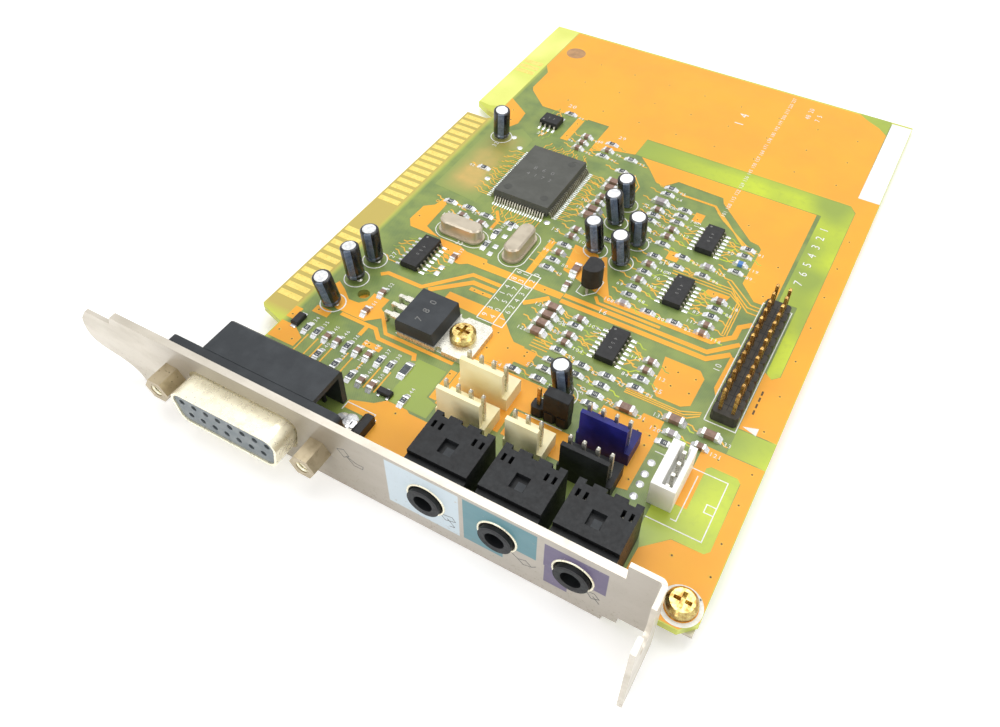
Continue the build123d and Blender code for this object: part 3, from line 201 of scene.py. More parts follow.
@dataclass(frozen=True)
class Finish:
    """Mottled finish with its own gloss and grain.

    Attributes:
        name: Material name.
        colour: Main colour in display levels.
        second: Colour it is mottled with.
        patch: Mottling cells in a metre.
        rough: Mean roughness.
        spread: How far the roughness varies.
        grain: Grain cells in a metre.
        depth: Grain depth in mm.
        metal: Metallic share.
        coat: Clear coat share.
        stretch: Stretch of the pattern along each axis.
        low: Noise value below which only the main colour shows.
        high: Noise value above which only the second shows.
        shine: Specular level.
    """

    name: str
    colour: Levels
    second: Levels
    patch: float
    rough: float
    spread: float
    grain: float
    depth: float
    metal: float = 0.0
    coat: float = 0.0
    stretch: tuple[float, float, float] = (1, 1, 1)
    low: float = 0.4
    high: float = 0.62
    shine: float = 0.5

    def make(self) -> bpy.types.Material:
        """Builds the material.

        Returns:
            The material.
        """
        nodes = Nodes(self.name)
        gloss = nodes.ramp(nodes.noise(self.patch * 3, 4, self.stretch), 0.3, 0.7,
                           self.rough - self.spread, self.rough + self.spread)
        bump = nodes.add("ShaderNodeBump", {"Distance": self.depth * MM, "Strength": 1.0,
                                            "Height": nodes.noise(self.grain, 2, self.stretch)})
        nodes.feed(nodes.shader, {
            "Metallic": self.metal, "Coat Weight": self.coat, "Coat Roughness": 0.15,
            "Specular IOR Level": self.shine, "Roughness": gloss, "Normal": bump.outputs["Normal"],
            "Base Color": self.paint(nodes)})
        return nodes.material

    def mottle(self, nodes: Nodes, patch: float = 0.0, detail: float = 4.0) -> Socket:
        """Mixes the finish's two colours, in cells of its own size unless another is given."""
        share = nodes.ramp(nodes.noise(patch or self.patch, detail, self.stretch), self.low, self.high)
        return nodes.blend(share, linear(*self.colour), linear(*self.second))

    def paint(self, nodes: Nodes) -> Socket:
        """Gives the surface's colour."""
        return self.mottle(nodes)


@dataclass(frozen=True)
class BoardFinish(Finish):
    """Green laminate, brighter near its edges and tan on the tongue.

    Attributes:
        glow: Colour at the edges.
        tongue: Colour between the fingers.
        weave: Glass weave's scale in a metre.
    """

    glow: Colour = linear(204, 212, 84)
    tongue: Colour = linear(196, 176, 88)
    weave: float = 1400.0

    def paint(self, nodes: Nodes) -> Socket:
        """Colours the laminate.

        Args:
            nodes: The material's nodes.

        Returns:
            The colour.
        """
        weave = nodes.add("ShaderNodeTexWave", {"Scale": self.weave, "Vector": nodes.place},
                          wave_type="BANDS", bands_direction="DIAGONAL").outputs["Fac"]
        woven = nodes.blend(nodes.ramp(weave, 0, 1, 0.0, 0.08), self.mottle(nodes), self.glow)
        tone = nodes.blend(nodes.field(7.0, 101.2, 1.0, 153.0, "Y", (0.8, 0.8)), self.glow, woven)
        tone = nodes.blend(nodes.field(-2.0, 6.7, 22.6, 105.6, "Y", (0.5, 1.2)), tone, self.tongue)
        return nodes.blend(nodes.between("Z", -1.45, 0.4, 0.05), self.glow, tone)


@dataclass(frozen=True)
class GlowFinish(Finish):
    """Bare laminate that light comes through, in slow changes of two colours.

    Attributes:
        along: Cells of the slow changes in a metre.
        faded: Whether it dulls towards the board's back edge, and darkens with painted shade towards its top
            edge.
    """

    along: float = 60.0
    faded: bool = False

    def paint(self, nodes: Nodes) -> Socket:
        """Colours the band.

        Args:
            nodes: The material's nodes.

        Returns:
            The colour.
        """
        base, dull = self.mottle(nodes, self.along, 1), linear(*self.second)
        if self.faded:
            # darker towards low X; the darkening towards the top edge near y 114.9 is painted shade
            near = nodes.ramp(nodes.axis("X"), 45 * MM, 76 * MM)
            far = nodes.ramp(nodes.axis("Y"), 111.5 * MM, 114.9 * MM, 1.0, 0.35)
            base = nodes.blend(nodes.combine(near, far), dull, base)
        return nodes.blend(nodes.ramp(nodes.noise(self.patch, 4), 0.5, 0.8, 0.0, 0.3), base, dull)


@dataclass(frozen=True)
class BuriedFinish(Finish):
    """Copper seen through the laminate, which melts into the green at its edges.

    Attributes:
        oblong: Left, right, front and back edge in mm.
        green: Colour at its edges.
    """

    oblong: tuple[float, float, float, float] = (10.8, 18.7, 75.0, 97.5)
    green: Colour = linear(140, 158, 82)

    def paint(self, nodes: Nodes) -> Socket:
        """Gives the field's colour, which fades towards its edges."""
        return nodes.blend(nodes.field(*self.oblong, "Y", (2.0, 3.0)), self.green, self.mottle(nodes))


@dataclass(frozen=True)
class LeggedFinish(Finish):
    """Plastic body that stands on bare metal legs.

    Attributes:
        foot: Height of the body's underside in mm.
        legs: Colour of the legs.
    """

    foot: float = 1.9
    legs: Colour = linear(160, 156, 144)

    def paint(self, nodes: Nodes) -> Socket:
        """Gives the body's colour above its underside and the legs' below it."""
        body = nodes.ramp(nodes.axis("Z"), (self.foot - 0.06) * MM, (self.foot - 0.02) * MM)
        return nodes.blend(body, self.legs, self.mottle(nodes))


LIGHT_INK, TEAL_INK, PURPLE_INK = linear(188, 201, 208), linear(86, 130, 138), linear(97, 87, 116)


@dataclass(frozen=True)
class BracketFinish(Finish):
    """Worn nickel plate with printed colour fields round the sockets, and painted shade that darkens its face
    from the left end towards +X.

    Attributes:
        fields: Left, right, lower and upper edge of each printed field in mm, and its colour.
        grime: Colour of the dirt.
        middle: Tone of the face beside the game port, darker still: painted shade.
        outer: Tone of the rest of the face, darker than the plate's own mottle: painted shade.
    """

    fields: tuple[tuple[tuple[float, float, float, float], Colour], ...] = (
        ((47.8, 61.9, -2.5, 9.6), LIGHT_INK), ((62.7, 76.1, 2.3, 9.6), TEAL_INK),
        ((62.7, 70.1, -2.2, 2.4), TEAL_INK), ((77.4, 88.2, 2.3, 8.8), PURPLE_INK),
        ((77.6, 81.8, -2.7, 2.4), PURPLE_INK))
    grime: Colour = (0.2, 0.13, 0.07)
    middle: Colour = linear(158, 150, 136)
    outer: Colour = linear(172, 165, 155)

    def paint(self, nodes: Nodes) -> Socket:
        """Colours the plate, its painted shade, its stains, and its printed fields, worn through in places.

        Args:
            nodes: The material's nodes.

        Returns:
            The colour.
        """
        front = nodes.ramp(nodes.axis("Y"), -1.56 * MM, -1.5 * MM, 1.0, 0.0)
        face = nodes.combine(front, nodes.ramp(nodes.axis("Y"), -1.75 * MM, -1.65 * MM))
        wear = nodes.ramp(nodes.noise(900, 6, rough=0.7), 0.3, 0.36)
        # painted shade: the face darkens from its left end towards +X, and most beside the game port
        right = nodes.ramp(nodes.axis("X"), -6 * MM, 6 * MM, 0.0, 0.85)
        colour = nodes.blend(nodes.combine(face, right), self.mottle(nodes, detail=5), self.outer)
        colour = nodes.blend(nodes.combine(face, nodes.between("X", 6.0, 44.0, 7.0)), colour, self.middle)
        inked = None
        for oblong, ink in self.fields:
            shown = nodes.combine(nodes.field(*oblong), face)
            colour = nodes.blend(nodes.combine(shown, wear), colour, ink)
            inked = shown if inked is None else nodes.combine(inked, shown, "MAXIMUM")
        nodes.feed(nodes.shader, {"Metallic": nodes.ramp(inked, 0, 1, self.metal, 0.0)})
        specks = nodes.ramp(nodes.noise(2200, 3), 0.6, 0.7)
        low_edge = nodes.ramp(nodes.axis("Z"), -5.4 * MM, 1.0 * MM, 0.75, 0.1)
        return nodes.blend(nodes.combine(specks, low_edge), colour, self.grime)


# name, two colours, patch, roughness and its spread, grain and its depth
FINISHES: tuple[Finish, ...] = (
    BoardFinish("laminate", (134, 152, 80), (110, 132, 75), 160, 0.38, 0.06, 5000, 0.004),
    GlowFinish("clear_laminate", (204, 220, 58), (152, 172, 72), 700, 0.35, 0.05, 5000, 0.004, low=0.42,
        high=0.68, faded=True),
    GlowFinish("pale_laminate", (246, 248, 140), (226, 232, 112), 500, 0.35, 0.05, 5000, 0.004),
    Finish("masked_copper", (253, 181, 66), (249, 174, 68), 60, 0.4, 0.05, 3500, 0.004, shine=0.25),
    BuriedFinish("copper_below", (208, 176, 100), (160, 160, 86), 60, 0.38, 0.05, 4000, 0.004, low=0.4,
        high=0.66),
    Finish("masked_traces", (252, 190, 76), (242, 190, 84), 220, 0.4, 0.05, 4000, 0.003, shine=0.25),
    Finish("finger_gold", (255, 230, 126), (250, 220, 112), 700, 0.3, 0.06, 3000, 0.003, metal=0.1),
    Finish("pin_gold", (208, 170, 98), (150, 112, 60), 1500, 0.3, 0.1, 3000, 0.006, metal=0.8),
    Finish("silk_ink", (250, 250, 246), (236, 236, 226), 1200, 0.55, 0.08, 6000, 0.004),
    Finish("solder", (250, 251, 252), (216, 218, 220), 1500, 0.22, 0.1, 2500, 0.01, metal=0.5),
    Finish("tinned_lead", (214, 212, 200), (180, 177, 164), 900, 0.3, 0.08, 3000, 0.003, metal=0.7, low=0.5,
        high=0.8),
    Finish("dull_leads", (172, 169, 154), (140, 136, 122), 900, 0.34, 0.08, 3000, 0.003, metal=0.7),
    Finish("jackscrew_metal", (178, 164, 136), (150, 136, 108), 500, 0.34, 0.08, 1800, 0.005, metal=0.6,
        low=0.45, high=0.75),
    Finish("dull_nickel", (252, 246, 220), (218, 208, 184), 300, 0.3, 0.08, 1800, 0.004, metal=0.65, low=0.52,
        high=0.82),
    BracketFinish("worn_bracket", (210, 203, 190), (184, 176, 160), 120, 0.36, 0.08, 1500, 0.005, metal=0.5,
        stretch=(0.6, 1, 1.6), low=0.45, high=0.75),
    Finish("yellow_zinc", (226, 206, 134), (160, 122, 66), 900, 0.26, 0.1, 2500, 0.01, metal=0.9),
    Finish("crystal_can", (198, 187, 168), (178, 167, 148), 300, 0.32, 0.04, 3500, 0.002, metal=0.6, low=0.45,
        high=0.75),
    Finish("can_top", (240, 242, 244), (214, 216, 218), 1500, 0.36, 0.08, 3000, 0.006, metal=0.4),
    Finish("black_plastic", (18, 19, 21), (30, 32, 34), 500, 0.5, 0.08, 2600, 0.02, shine=0.3),
    Finish("hood_plastic", (44, 48, 52), (54, 58, 62), 220, 0.52, 0.06, 1500, 0.02, shine=0.35),
    Finish("chip_epoxy", (30, 30, 31), (40, 40, 41), 900, 0.52, 0.06, 5000, 0.012, shine=0.35),
    Finish("large_chip_epoxy", (76, 77, 72), (84, 85, 80), 300, 0.52, 0.05, 4500, 0.01, shine=0.4),
    Finish("mould_mark", (64, 65, 61), (70, 71, 67), 300, 0.4, 0.05, 4500, 0.006, shine=0.4),
    Finish("header_plastic", (50, 48, 44), (64, 61, 56), 600, 0.5, 0.08, 2600, 0.02, shine=0.35),
    LeggedFinish("transistor_epoxy", (24, 24, 25), (34, 34, 35), 900, 0.5, 0.06, 5000, 0.012, shine=0.35),
    Finish("cream_nylon", (255, 247, 205), (253, 240, 190), 160, 0.42, 0.08, 2200, 0.006, shine=0.4),
    Finish("blue_nylon", (22, 24, 92), (34, 36, 122), 260, 0.42, 0.08, 2200, 0.008, shine=0.3),
    Finish("white_nylon", (255, 255, 252), (252, 251, 246), 260, 0.42, 0.08, 2200, 0.006),
    Finish("grey_insulator", (106, 114, 118), (124, 130, 132), 500, 0.5, 0.08, 2600, 0.02),
    Finish("socket_dark", (22, 22, 24), (34, 34, 36), 900, 0.6, 0.08, 3000, 0.01),
    Finish("black_sleeve", (9, 10, 14), (18, 20, 26), 700, 0.24, 0.06, 1800, 0.005, coat=0.4, shine=0.4),
    Finish("grey_stripe", (104, 116, 134), (84, 96, 114), 900, 0.26, 0.06, 1800, 0.005, coat=0.3, shine=0.4),
    Finish("brown_ceramic", (150, 120, 104), (128, 100, 86), 1200, 0.45, 0.08, 4000, 0.01),
    Finish("grey_ceramic", (176, 168, 170), (156, 146, 150), 1200, 0.45, 0.08, 4000, 0.01),
    Finish("blue_ceramic", (70, 120, 190), (90, 140, 200), 1200, 0.45, 0.08, 4000, 0.01),
    Finish("resistor_glaze", (48, 54, 60), (70, 78, 84), 1500, 0.34, 0.08, 4000, 0.008),
    Finish("resistor_base", (232, 232, 228), (214, 214, 208), 1500, 0.5, 0.08, 4000, 0.008),
    Finish("label_paper", (252, 252, 250), (244, 244, 240), 600, 0.6, 0.05, 3000, 0.01),
    Finish("faded_print", (128, 128, 126), (108, 108, 106), 1500, 0.6, 0.05, 3000, 0.004),
    Finish("drawn_line", (110, 112, 112), (90, 92, 92), 1500, 0.6, 0.05, 3000, 0.004),
    Finish("via_hole", (96, 68, 24), (60, 44, 18), 2500, 0.5, 0.08, 3000, 0.01),
    Finish("round_stamp", (190, 146, 100), (168, 128, 88), 500, 0.5, 0.06, 3000, 0.004),
)

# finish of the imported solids, whose names begin as listed
DRESSED: dict[str, str] = {
    "laminate": "circuit_board", "finger_gold": "edge_contacts", "worn_bracket": "mounting_bracket",
    "yellow_zinc": "bracket_screw regulator_screw regulator_nut", "dull_nickel": "gameport_shell nut_clip",
    "grey_insulator": "gameport_insulator", "hood_plastic": "gameport_housing regulator",
    "socket_dark": "gameport_contacts",
    "tinned_lead": "ground_clip jack_springs wafer_pins regulator_tab regulator_leads",
    "jackscrew_metal": "jackscrew", "black_plastic": "audio_jack black_wafer jumper_block jumper_cap",
    "header_plastic": "header_block", "pin_gold": "header_pins jumper_pins",
    "cream_nylon": "rear_wafer front_wafer short_wafer", "blue_nylon": "blue_wafer",
    "white_nylon": "box_wafer", "dull_leads": "main_chip_leads small_chip_leads",
    "large_chip_epoxy": "main_chip", "chip_epoxy": "codec_chip mixer_chip line_chip output_chip memory_chip "
    "choke small_diode small_transistor", "crystal_can": "crystal", "transistor_epoxy": "transistor",
    "resistor_glaze": "resistors", "brown_ceramic": "ceramic_capacitors", "label_paper": "label",
    "black_sleeve": "capacitor",
}


# ---- mesh helpers


def mesh_of(bm: Mesh, name: str = "template") -> bpy.types.Mesh:
    """Turns a bmesh into a mesh with sound normals.

    Args:
        bm: The bmesh, freed here.
        name: Name of the mesh.

    Returns:
        The mesh.
    """
    bmesh.ops.recalc_face_normals(bm, faces=bm.faces)
    mesh = bpy.data.meshes.new(name)
    bm.to_mesh(mesh)
    bm.free()
    return mesh


def set_material(made: Verts, material: int) -> None:
    """Gives the faces at some vertices their material.

    Args:
        made: The vertices.
        material: Material index.
    """
    for face in {face for vert in made for face in vert.link_faces}:
        face.material_index = material


def raise_faces(bm: Mesh, faces: list[bmesh.types.BMFace], thick: float) -> Verts:
    """Thickens flat faces upwards.

    Args:
        bm: Their mesh.
        faces: The faces.
        thick: How far in mm.

    Returns:
        The new upper vertices.
    """
    grown = bmesh.ops.extrude_face_region(bm, geom=faces, use_keep_orig=True)["geom"]
    raised = [item for item in grown if isinstance(item, bmesh.types.BMVert)]
    bmesh.ops.translate(bm, verts=raised, vec=(0, 0, thick))
    return raised


def block(bm: Mesh, centre: Sequence[float], size: Sequence[float], material: int = 0,
          edge: float = 0.0) -> Verts:
    """Adds a box with bevelled edges.

    Args:
        bm: Mesh that it goes into.
        centre: Its middle in mm.
        size: Its size in mm.
        material: Material index.
        edge: Bevel width in mm.

    Returns:
        Its vertices.
    """
    made = bmesh.ops.create_cube(bm, size=1.0)["verts"]
    bmesh.ops.transform(bm, matrix=Matrix.Translation(centre) @ Matrix.Diagonal((*size, 1.0)), verts=made)
    set_material(made, material)
    if edge > 0:
        edges = list({one for vert in made for one in vert.link_edges})
        cut = bmesh.ops.bevel(bm, geom=edges, offset=edge, segments=2, profile=0.5, affect="EDGES",
                              material=-1)
        made = list({vert for face in cut["faces"] for vert in face.verts} | {v for v in made if v.is_valid})
    return made


def disc(bm: Mesh, centre: Sequence[float], radius: float, height: float, sides: int, material: int = 0,
         top: float = 1.0) -> Verts:
    """Adds an upright round block.

    Args:
        bm: Mesh that it goes into.
        centre: Middle of its base in mm.
        radius: Its radius in mm.
        height: Its height in mm, negative to go down.
        sides: Number of sides.
        material: Material index.
        top: Ratio of the far end's radius to the radius.

    Returns:
        Its vertices.
    """
    made = bmesh.ops.create_cone(bm, cap_ends=True, segments=sides, radius1=radius, radius2=radius * top,
                                 depth=abs(height))["verts"]
    if height < 0:
        bmesh.ops.rotate(bm, verts=made, cent=(0, 0, 0), matrix=Matrix.Rotation(math.pi, 3, "X"))
    bmesh.ops.translate(bm, verts=made, vec=(centre[0], centre[1], centre[2] + height / 2))
    set_material(made, material)
    return made


def sheet(bm: Mesh, outline: Iterable[Point], low: float, thick: float, material: int = 0) -> None:
    """Adds a thin flat sheet.

    Args:
        bm: Mesh that it goes into.
        outline: Corners in mm, in order.
        low: Height of its underside in mm.
        thick: Its thickness in mm.
        material: Material index.
    """
    face = bm.faces.new([bm.verts.new((x, y, low)) for x, y in outline])
    face.normal_update()
    if face.normal.z > 0:
        face.normal_flip()
    face.material_index = material
    set_material(raise_faces(bm, [face], thick), material)


def track(bm: Mesh, path: Sequence[Point], width: float, low: float, thick: float,
          material: int = 0) -> Verts:
    """Adds a flat track of even width, mitred at its bends.

    Args:
        bm: Mesh that it goes into.
        path: Middle line in mm.
        width: Track width in mm.
        low: Height of its underside in mm.
        thick: Its thickness in mm.
        material: Material index.

    Returns:
        Its vertices.
    """
    points = [Vector(point) for point in path]
    pairs: list[tuple[bmesh.types.BMVert, bmesh.types.BMVert]] = []
    for index, point in enumerate(points):
        before = (point - points[index - 1]).normalized() if index else None
        after = (points[index + 1] - point).normalized() if index + 1 < len(points) else None
        along = before if after is None else after if before is None else (before + after)
        along = along.normalized() if along.length > 1e-6 else before
        side = Vector((-along.y, along.x))
        bend = side.dot(Vector((-before.y, before.x))) if before is not None else 1.0
        offset = side * (width / 2 / max(bend, 0.6))
        pairs.append((bm.verts.new((*(point + offset), low)), bm.verts.new((*(point - offset), low))))
    faces = [bm.faces.new((one[0], two[0], two[1], one[1])) for one, two in zip(pairs, pairs[1:])]
    made = raise_faces(bm, faces, thick) + [vert for pair in pairs for vert in pair]
    set_material(made, material)
    return made


def spin(bm: Mesh, points: Iterable[Sequence[float]], centre: Sequence[float], axis: Sequence[float],
         steps: int) -> Verts:
    """Spins a chain of points once round an axis.

    Args:
        bm: Mesh that it goes into.
        points: The points in mm.
        centre: A point on the axis in mm.
        axis: Direction of the axis.
        steps: Steps of the turn.

    Returns:
        The vertices.
    """
    old = set(bm.verts)
    chain = [bm.verts.new(point) for point in points]
    edges = [bm.edges.new(pair) for pair in zip(chain, chain[1:])]
    bmesh.ops.spin(bm, geom=chain + edges, cent=centre, axis=axis, angle=2 * math.pi, steps=steps,
                   use_merge=True, use_duplicate=False)
    bmesh.ops.remove_doubles(bm, verts=list(set(bm.verts) - old), dist=WELD)
    return list(set(bm.verts) - old)


def lathe(bm: Mesh, x: float, z: float, profile: Sequence[Point], material: int, steps: int = 48) -> None:
    """Spins a profile of radius and y about the axis along Y that goes through x and z, in mm."""
    set_material(spin(bm, [(x + r, y, z) for r, y in profile], (x, 0, z), (0, 1, 0), steps), material)


def stamp(bm: Mesh, template: bpy.types.Mesh, matrix: Matrix) -> None:
    """Copies a template mesh into a bmesh.

    Args:
        bm: Mesh that it goes into.
        template: What is copied, in mm.
        matrix: Where it goes.
    """
    placed = template.copy()
    placed.transform(matrix)
    bm.from_mesh(placed)
    bpy.data.meshes.remove(placed)


@lru_cache(maxsize=None)
def digit(symbol: str) -> bpy.types.Mesh:
    """Gives the flat shape of one numeral, one unit high, made once.

    Args:
        symbol: The numeral.

    Returns:
        Its mesh.
    """
    curve = bpy.data.curves.new("numeral", "FONT")
    curve.body = symbol
    curve.align_x = curve.align_y = "CENTER"
    curve.size = 1.4
    curve.resolution_u = 2
    curve.extrude = 0.5
    carrier = bpy.data.objects.new("numeral", curve)
    bpy.context.collection.objects.link(carrier)
    bpy.context.view_layer.update()
    mesh = bpy.data.meshes.new_from_object(carrier)
    mesh.materials.clear()
    bpy.data.objects.remove(carrier)
    return mesh


def numerals(bm: Mesh, words: str, place: Matrix, height: float, thick: float = 0.02) -> None:
    """Adds plain numerals as a thin flat print.

    Args:
        bm: Mesh that it goes into.
        words: The numerals, with spaces.
        place: Where their middle goes, in mm, with their face up.
        height: Height of a numeral in mm.
        thick: Thickness of the print in mm.
    """
    for index, symbol in enumerate(words):
        if symbol != " ":
            along = (index - (len(words) - 1) / 2) * height * 0.86
            stamp(bm, digit(symbol), place @ Matrix.Translation((along, 0, 0))
                  @ Matrix.Diagonal((height, height, thick, 1.0)))


def flat_turn(x: float, y: float, z: float, angle: float = 0.0) -> Matrix:
    """Places something flat on the board, turned about Z by angle in radians."""
    return Matrix.Translation((x, y, z)) @ Matrix.Rotation(angle, 4, "Z")


@dataclass
class Assembly:
    """Group of pieces.

    Attributes:
        palette: Material of each finish by its name.
    """

    palette: dict[str, bpy.types.Material]

    def piece(self, name: str, bm: Mesh, finishes: str, slot: str, smooth: bool = False) -> bpy.types.Object:
        """Turns a bmesh in mm into a piece that rides on the card.

        Args:
            name: Name of the piece.
            bm: Its mesh, freed here.
            finishes: Names of its finishes, in the order of their material indices.
            slot: Not used.
            smooth: Whether its faces are shaded smooth.

        Returns:
            The piece.
        """
        mesh = mesh_of(bm, name)
        mesh.transform(Matrix.Scale(MM, 4))
        for finish in finishes.split():
            mesh.materials.append(self.palette[finish])
        piece = bpy.data.objects.new(name, mesh)
        bpy.context.collection.objects.link(piece)
        if smooth:
            mesh.shade_smooth()
            mesh.set_sharp_from_angle(angle=SMOOTH_BELOW)
        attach(piece, BODY)
        LOG.info("%s: %d faces", name, len(mesh.polygons))
        return piece


# ---- what is printed on the board

# tops of the layers in mm; sheets that cross differ a little, so that no two faces coincide
BAND_TOP, POUR_TOP, TRACE_TOP, SILK_TOP = 0.02, 0.035, 0.05, 0.07

# corners as x and y in mm; a path stands beside its width
CLEAR_BANDS: tuple[Path, ...] = (
    ((45.2, 107.6), (91.5, 107.6), (91.5, 76), (95.4, 76), (95.4, 56), (96.5, 54.7), (98, 56.2), (98, 112.4),
     (96.4, 114.8), (45.2, 114.8)),
    ((95.1, 34.4), (102.3, 34.4), (102.3, 40.6), (95.1, 40.6)),
    ((93.1, 30.4), (99.3, 30.4), (99.4, 14.8), (98.6, 13.9), (93, 13.9), (88.9, 9.8), (87.6, 14),
     (87.6, 20.3), (93.1, 20.3)),
    ((35.8, 14.4), (44.8, 14.4), (44.8, 17.9), (42.2, 18.6), (42.2, 25.6), (35.8, 25.6)),
    ((88.5, 154.2), (97, 154.2), (97, 147.5), (94.8, 149.6), (91.5, 151.5)))
FAR_BAND: Path = (
    (0, 108.5), (3.5, 108), (6.8, 109.5), (6.8, 154.2), (0, 154.2))
TAN_FIELD: Path = (
    (9, 73), (20.5, 72), (20.5, 100), (16, 103), (13, 100), (9, 99))
POURS: tuple[Path, ...] = (
    ((7, 153.6), (7, 133.2), (9, 130), (9, 121.5), (9.8, 120), (15.5, 114.7), (28.5, 114.7), (28.5, 115.2),
     (34.5, 115.2), (34.5, 103.2), (40.5, 106.5), (45.1, 107.5), (45.2, 115), (96.5, 114.6), (98.1, 112.6),
     (98.1, 56.2), (96.7, 54.8), (95.1, 56), (95.1, 40.8), (102.2, 40.8), (102.2, 118.4), (97.2, 118.6),
     (97, 147.3), (94.6, 149.8), (91.5, 151.6), (89, 153.6)),
    ((47, 107.4), (90.5, 107.4), (90.8, 76), (89, 74.8), (88.9, 73.2), (87, 73.2), (83.2, 77.3), (83.2, 89.5),
     (82.3, 90.6), (80.2, 91), (70.6, 100.5), (69.8, 102.4), (58.5, 102.8), (56, 99.4), (53.8, 100),
     (50, 104.5)),
    ((76.9, 50.1), (84.2, 50.1), (85.6, 48.5), (85.6, 41.2), (84, 40.1), (79.2, 40.1), (77.5, 42.1),
     (77.4, 47)),
    ((91, 34.2), (102.2, 34.2), (102.2, 2.8), (99.7, 0.2), (88.5, 0.2), (88.9, 9.8), (93, 13.8), (98.6, 13.9),
     (99.4, 14.8), (99.4, 29.5), (98.6, 30.4), (93.8, 30.4), (93.1, 29.7), (93.1, 20.3), (91, 20.3)),
    ((71.6, 33.4), (78.2, 33.4), (78.8, 35.4), (82.8, 35.4), (83, 30), (82.9, 18.8), (80, 18.2), (71, 18.2)),
    ((58.2, 18.2), (70, 18.2), (70, 24.2), (58.2, 24.2)),
    ((44.3, 18.2), (57.6, 18.2), (57.6, 24.6), (60.8, 24.6), (60.8, 31.5), (44.3, 31.5)),
    ((52, 34.3), (55, 34.3), (55, 38.3), (52, 38.3)),
    ((31.2, 44.3), (31.2, 41.6), (43.5, 41), (44.3, 31.6), (52, 31.6), (52, 38.6), (49.5, 38.7), (48, 40),
     (45.8, 42.3), (43.8, 44.3)),
    ((36.4, 14.3), (34.6, 12.6), (30.2, 11), (30.2, 9.2), (36.9, 9.2), (36.9, 0.2), (49.8, 0.2), (49.8, 13.8),
     (41.6, 13.8), (40.8, 14.3)),
    ((42.6, 18.8), (44.1, 18.8), (44.1, 26.5), (42.6, 26.5)),
    ((88, 56.5), (88.8, 56.5), (88.8, 45.8), (87.9, 47.5)),
    ((13.8, 69.2), (15.4, 68), (15.7, 59.3), (17.6, 58.4), (20.3, 57.4), (12.5, 57.5), (11, 59.5),
     (11.2, 64.8), (13.2, 66.5)),
    ((20.4, 57.4), (25.8, 57.3), (27.8, 56.5), (33, 56.5), (33.5, 55.6), (52, 55.6), (52, 53.8), (30, 53.4),
     (28.4, 52.3), (24.5, 52.5)),
    ((47.2, 70.5), (53, 70), (57, 64), (60, 58.5), (48.5, 62)),
    ((8.2, 31), (9.6, 35.4), (12, 34), (14.5, 32), (16.8, 32.2), (18, 33.5), (18, 36), (21.8, 36),
     (21.8, 33.2), (24, 31.5), (20.8, 28.6), (13.9, 28.6)),
    ((6.8, 114), (13.2, 109.5), (13.8, 104.5), (11.5, 100), (9.5, 100), (7.2, 104)),
    ((6.4, 22), (8.2, 22), (8.2, 25.2), (6.4, 25.2)),
    ((6.4, 16.2), (12.8, 16.2), (12.8, 18.8), (9.6, 20.8), (6.4, 20.8)),
    ((10, 25.6), (13.7, 25.6), (13.7, 27.6), (10, 27.6)),
    ((24.1, 23.2), (28.2, 23.2), (28.2, 24.6), (24.1, 24.6)),
    ((66.3, 91), (68.5, 91), (68.5, 94.3), (66.3, 94.3)),
    ((66, 76.3), (68.6, 76.3), (68.6, 79.2), (66, 79.2)),
    ((76.8, 69.8), (77.5, 72), (82.3, 72.2), (82, 70.6), (78.5, 70)),
    ((26, 104.2), (28, 104.2), (28, 114.5), (26, 114.5)))
FAR_SIDE_POURS: tuple[Path, ...] = (
    ((8, 14), (50, 14), (50, 56), (12, 56), (8, 52)),
    ((52, 32), (88, 32), (88, 72), (60, 72), (52, 66)),
    ((9, 60), (44, 60), (44, 102), (9, 102)))
WIDE_TRACES: tuple[tuple[float, Path], ...] = (
    (1, ((15.8, 41.4), (17, 42.5), (25.3, 42.5), (32.8, 51), (39.5, 51))),
    (1.2, ((27, 42.5), (34, 49), (39.4, 49))),
    (1.2, ((45.8, 49), (47.5, 50.5), (50, 53))),
    (1, ((34.3, 47.2), (39.4, 47.2))),
    (0.9, ((15.5, 28), (24, 28), (26, 26.1), (34.5, 26.1), (35.2, 24.8))),
    (0.9, ((22.2, 28), (22.2, 25))),
    (0.8, ((22.5, 32.5), (26.5, 27.9), (42.2, 27.9))),
    (1.2, ((54.5, 70), (57.3, 64), (60.5, 58.2), (83.2, 58.2), (86.9, 61.7), (86.9, 64.8), (89, 66.8))),
    (0.7, ((58, 58.2), (59.2, 56.7), (73, 56.7))),
    (1.1, ((52.2, 55.3), (83.5, 55.3), (88.6, 60.4))),
    (1.2, ((52.2, 53.5), (83.9, 53.5), (87.9, 57))),
    (0.6, ((61, 98.6), (69.3, 98.6), (73, 94.5))),
    (0.8, ((26.5, 71.8), (28.5, 69), (28.5, 65.5))),
    (1.4, ((42.5, 57.2), (42.5, 69))))
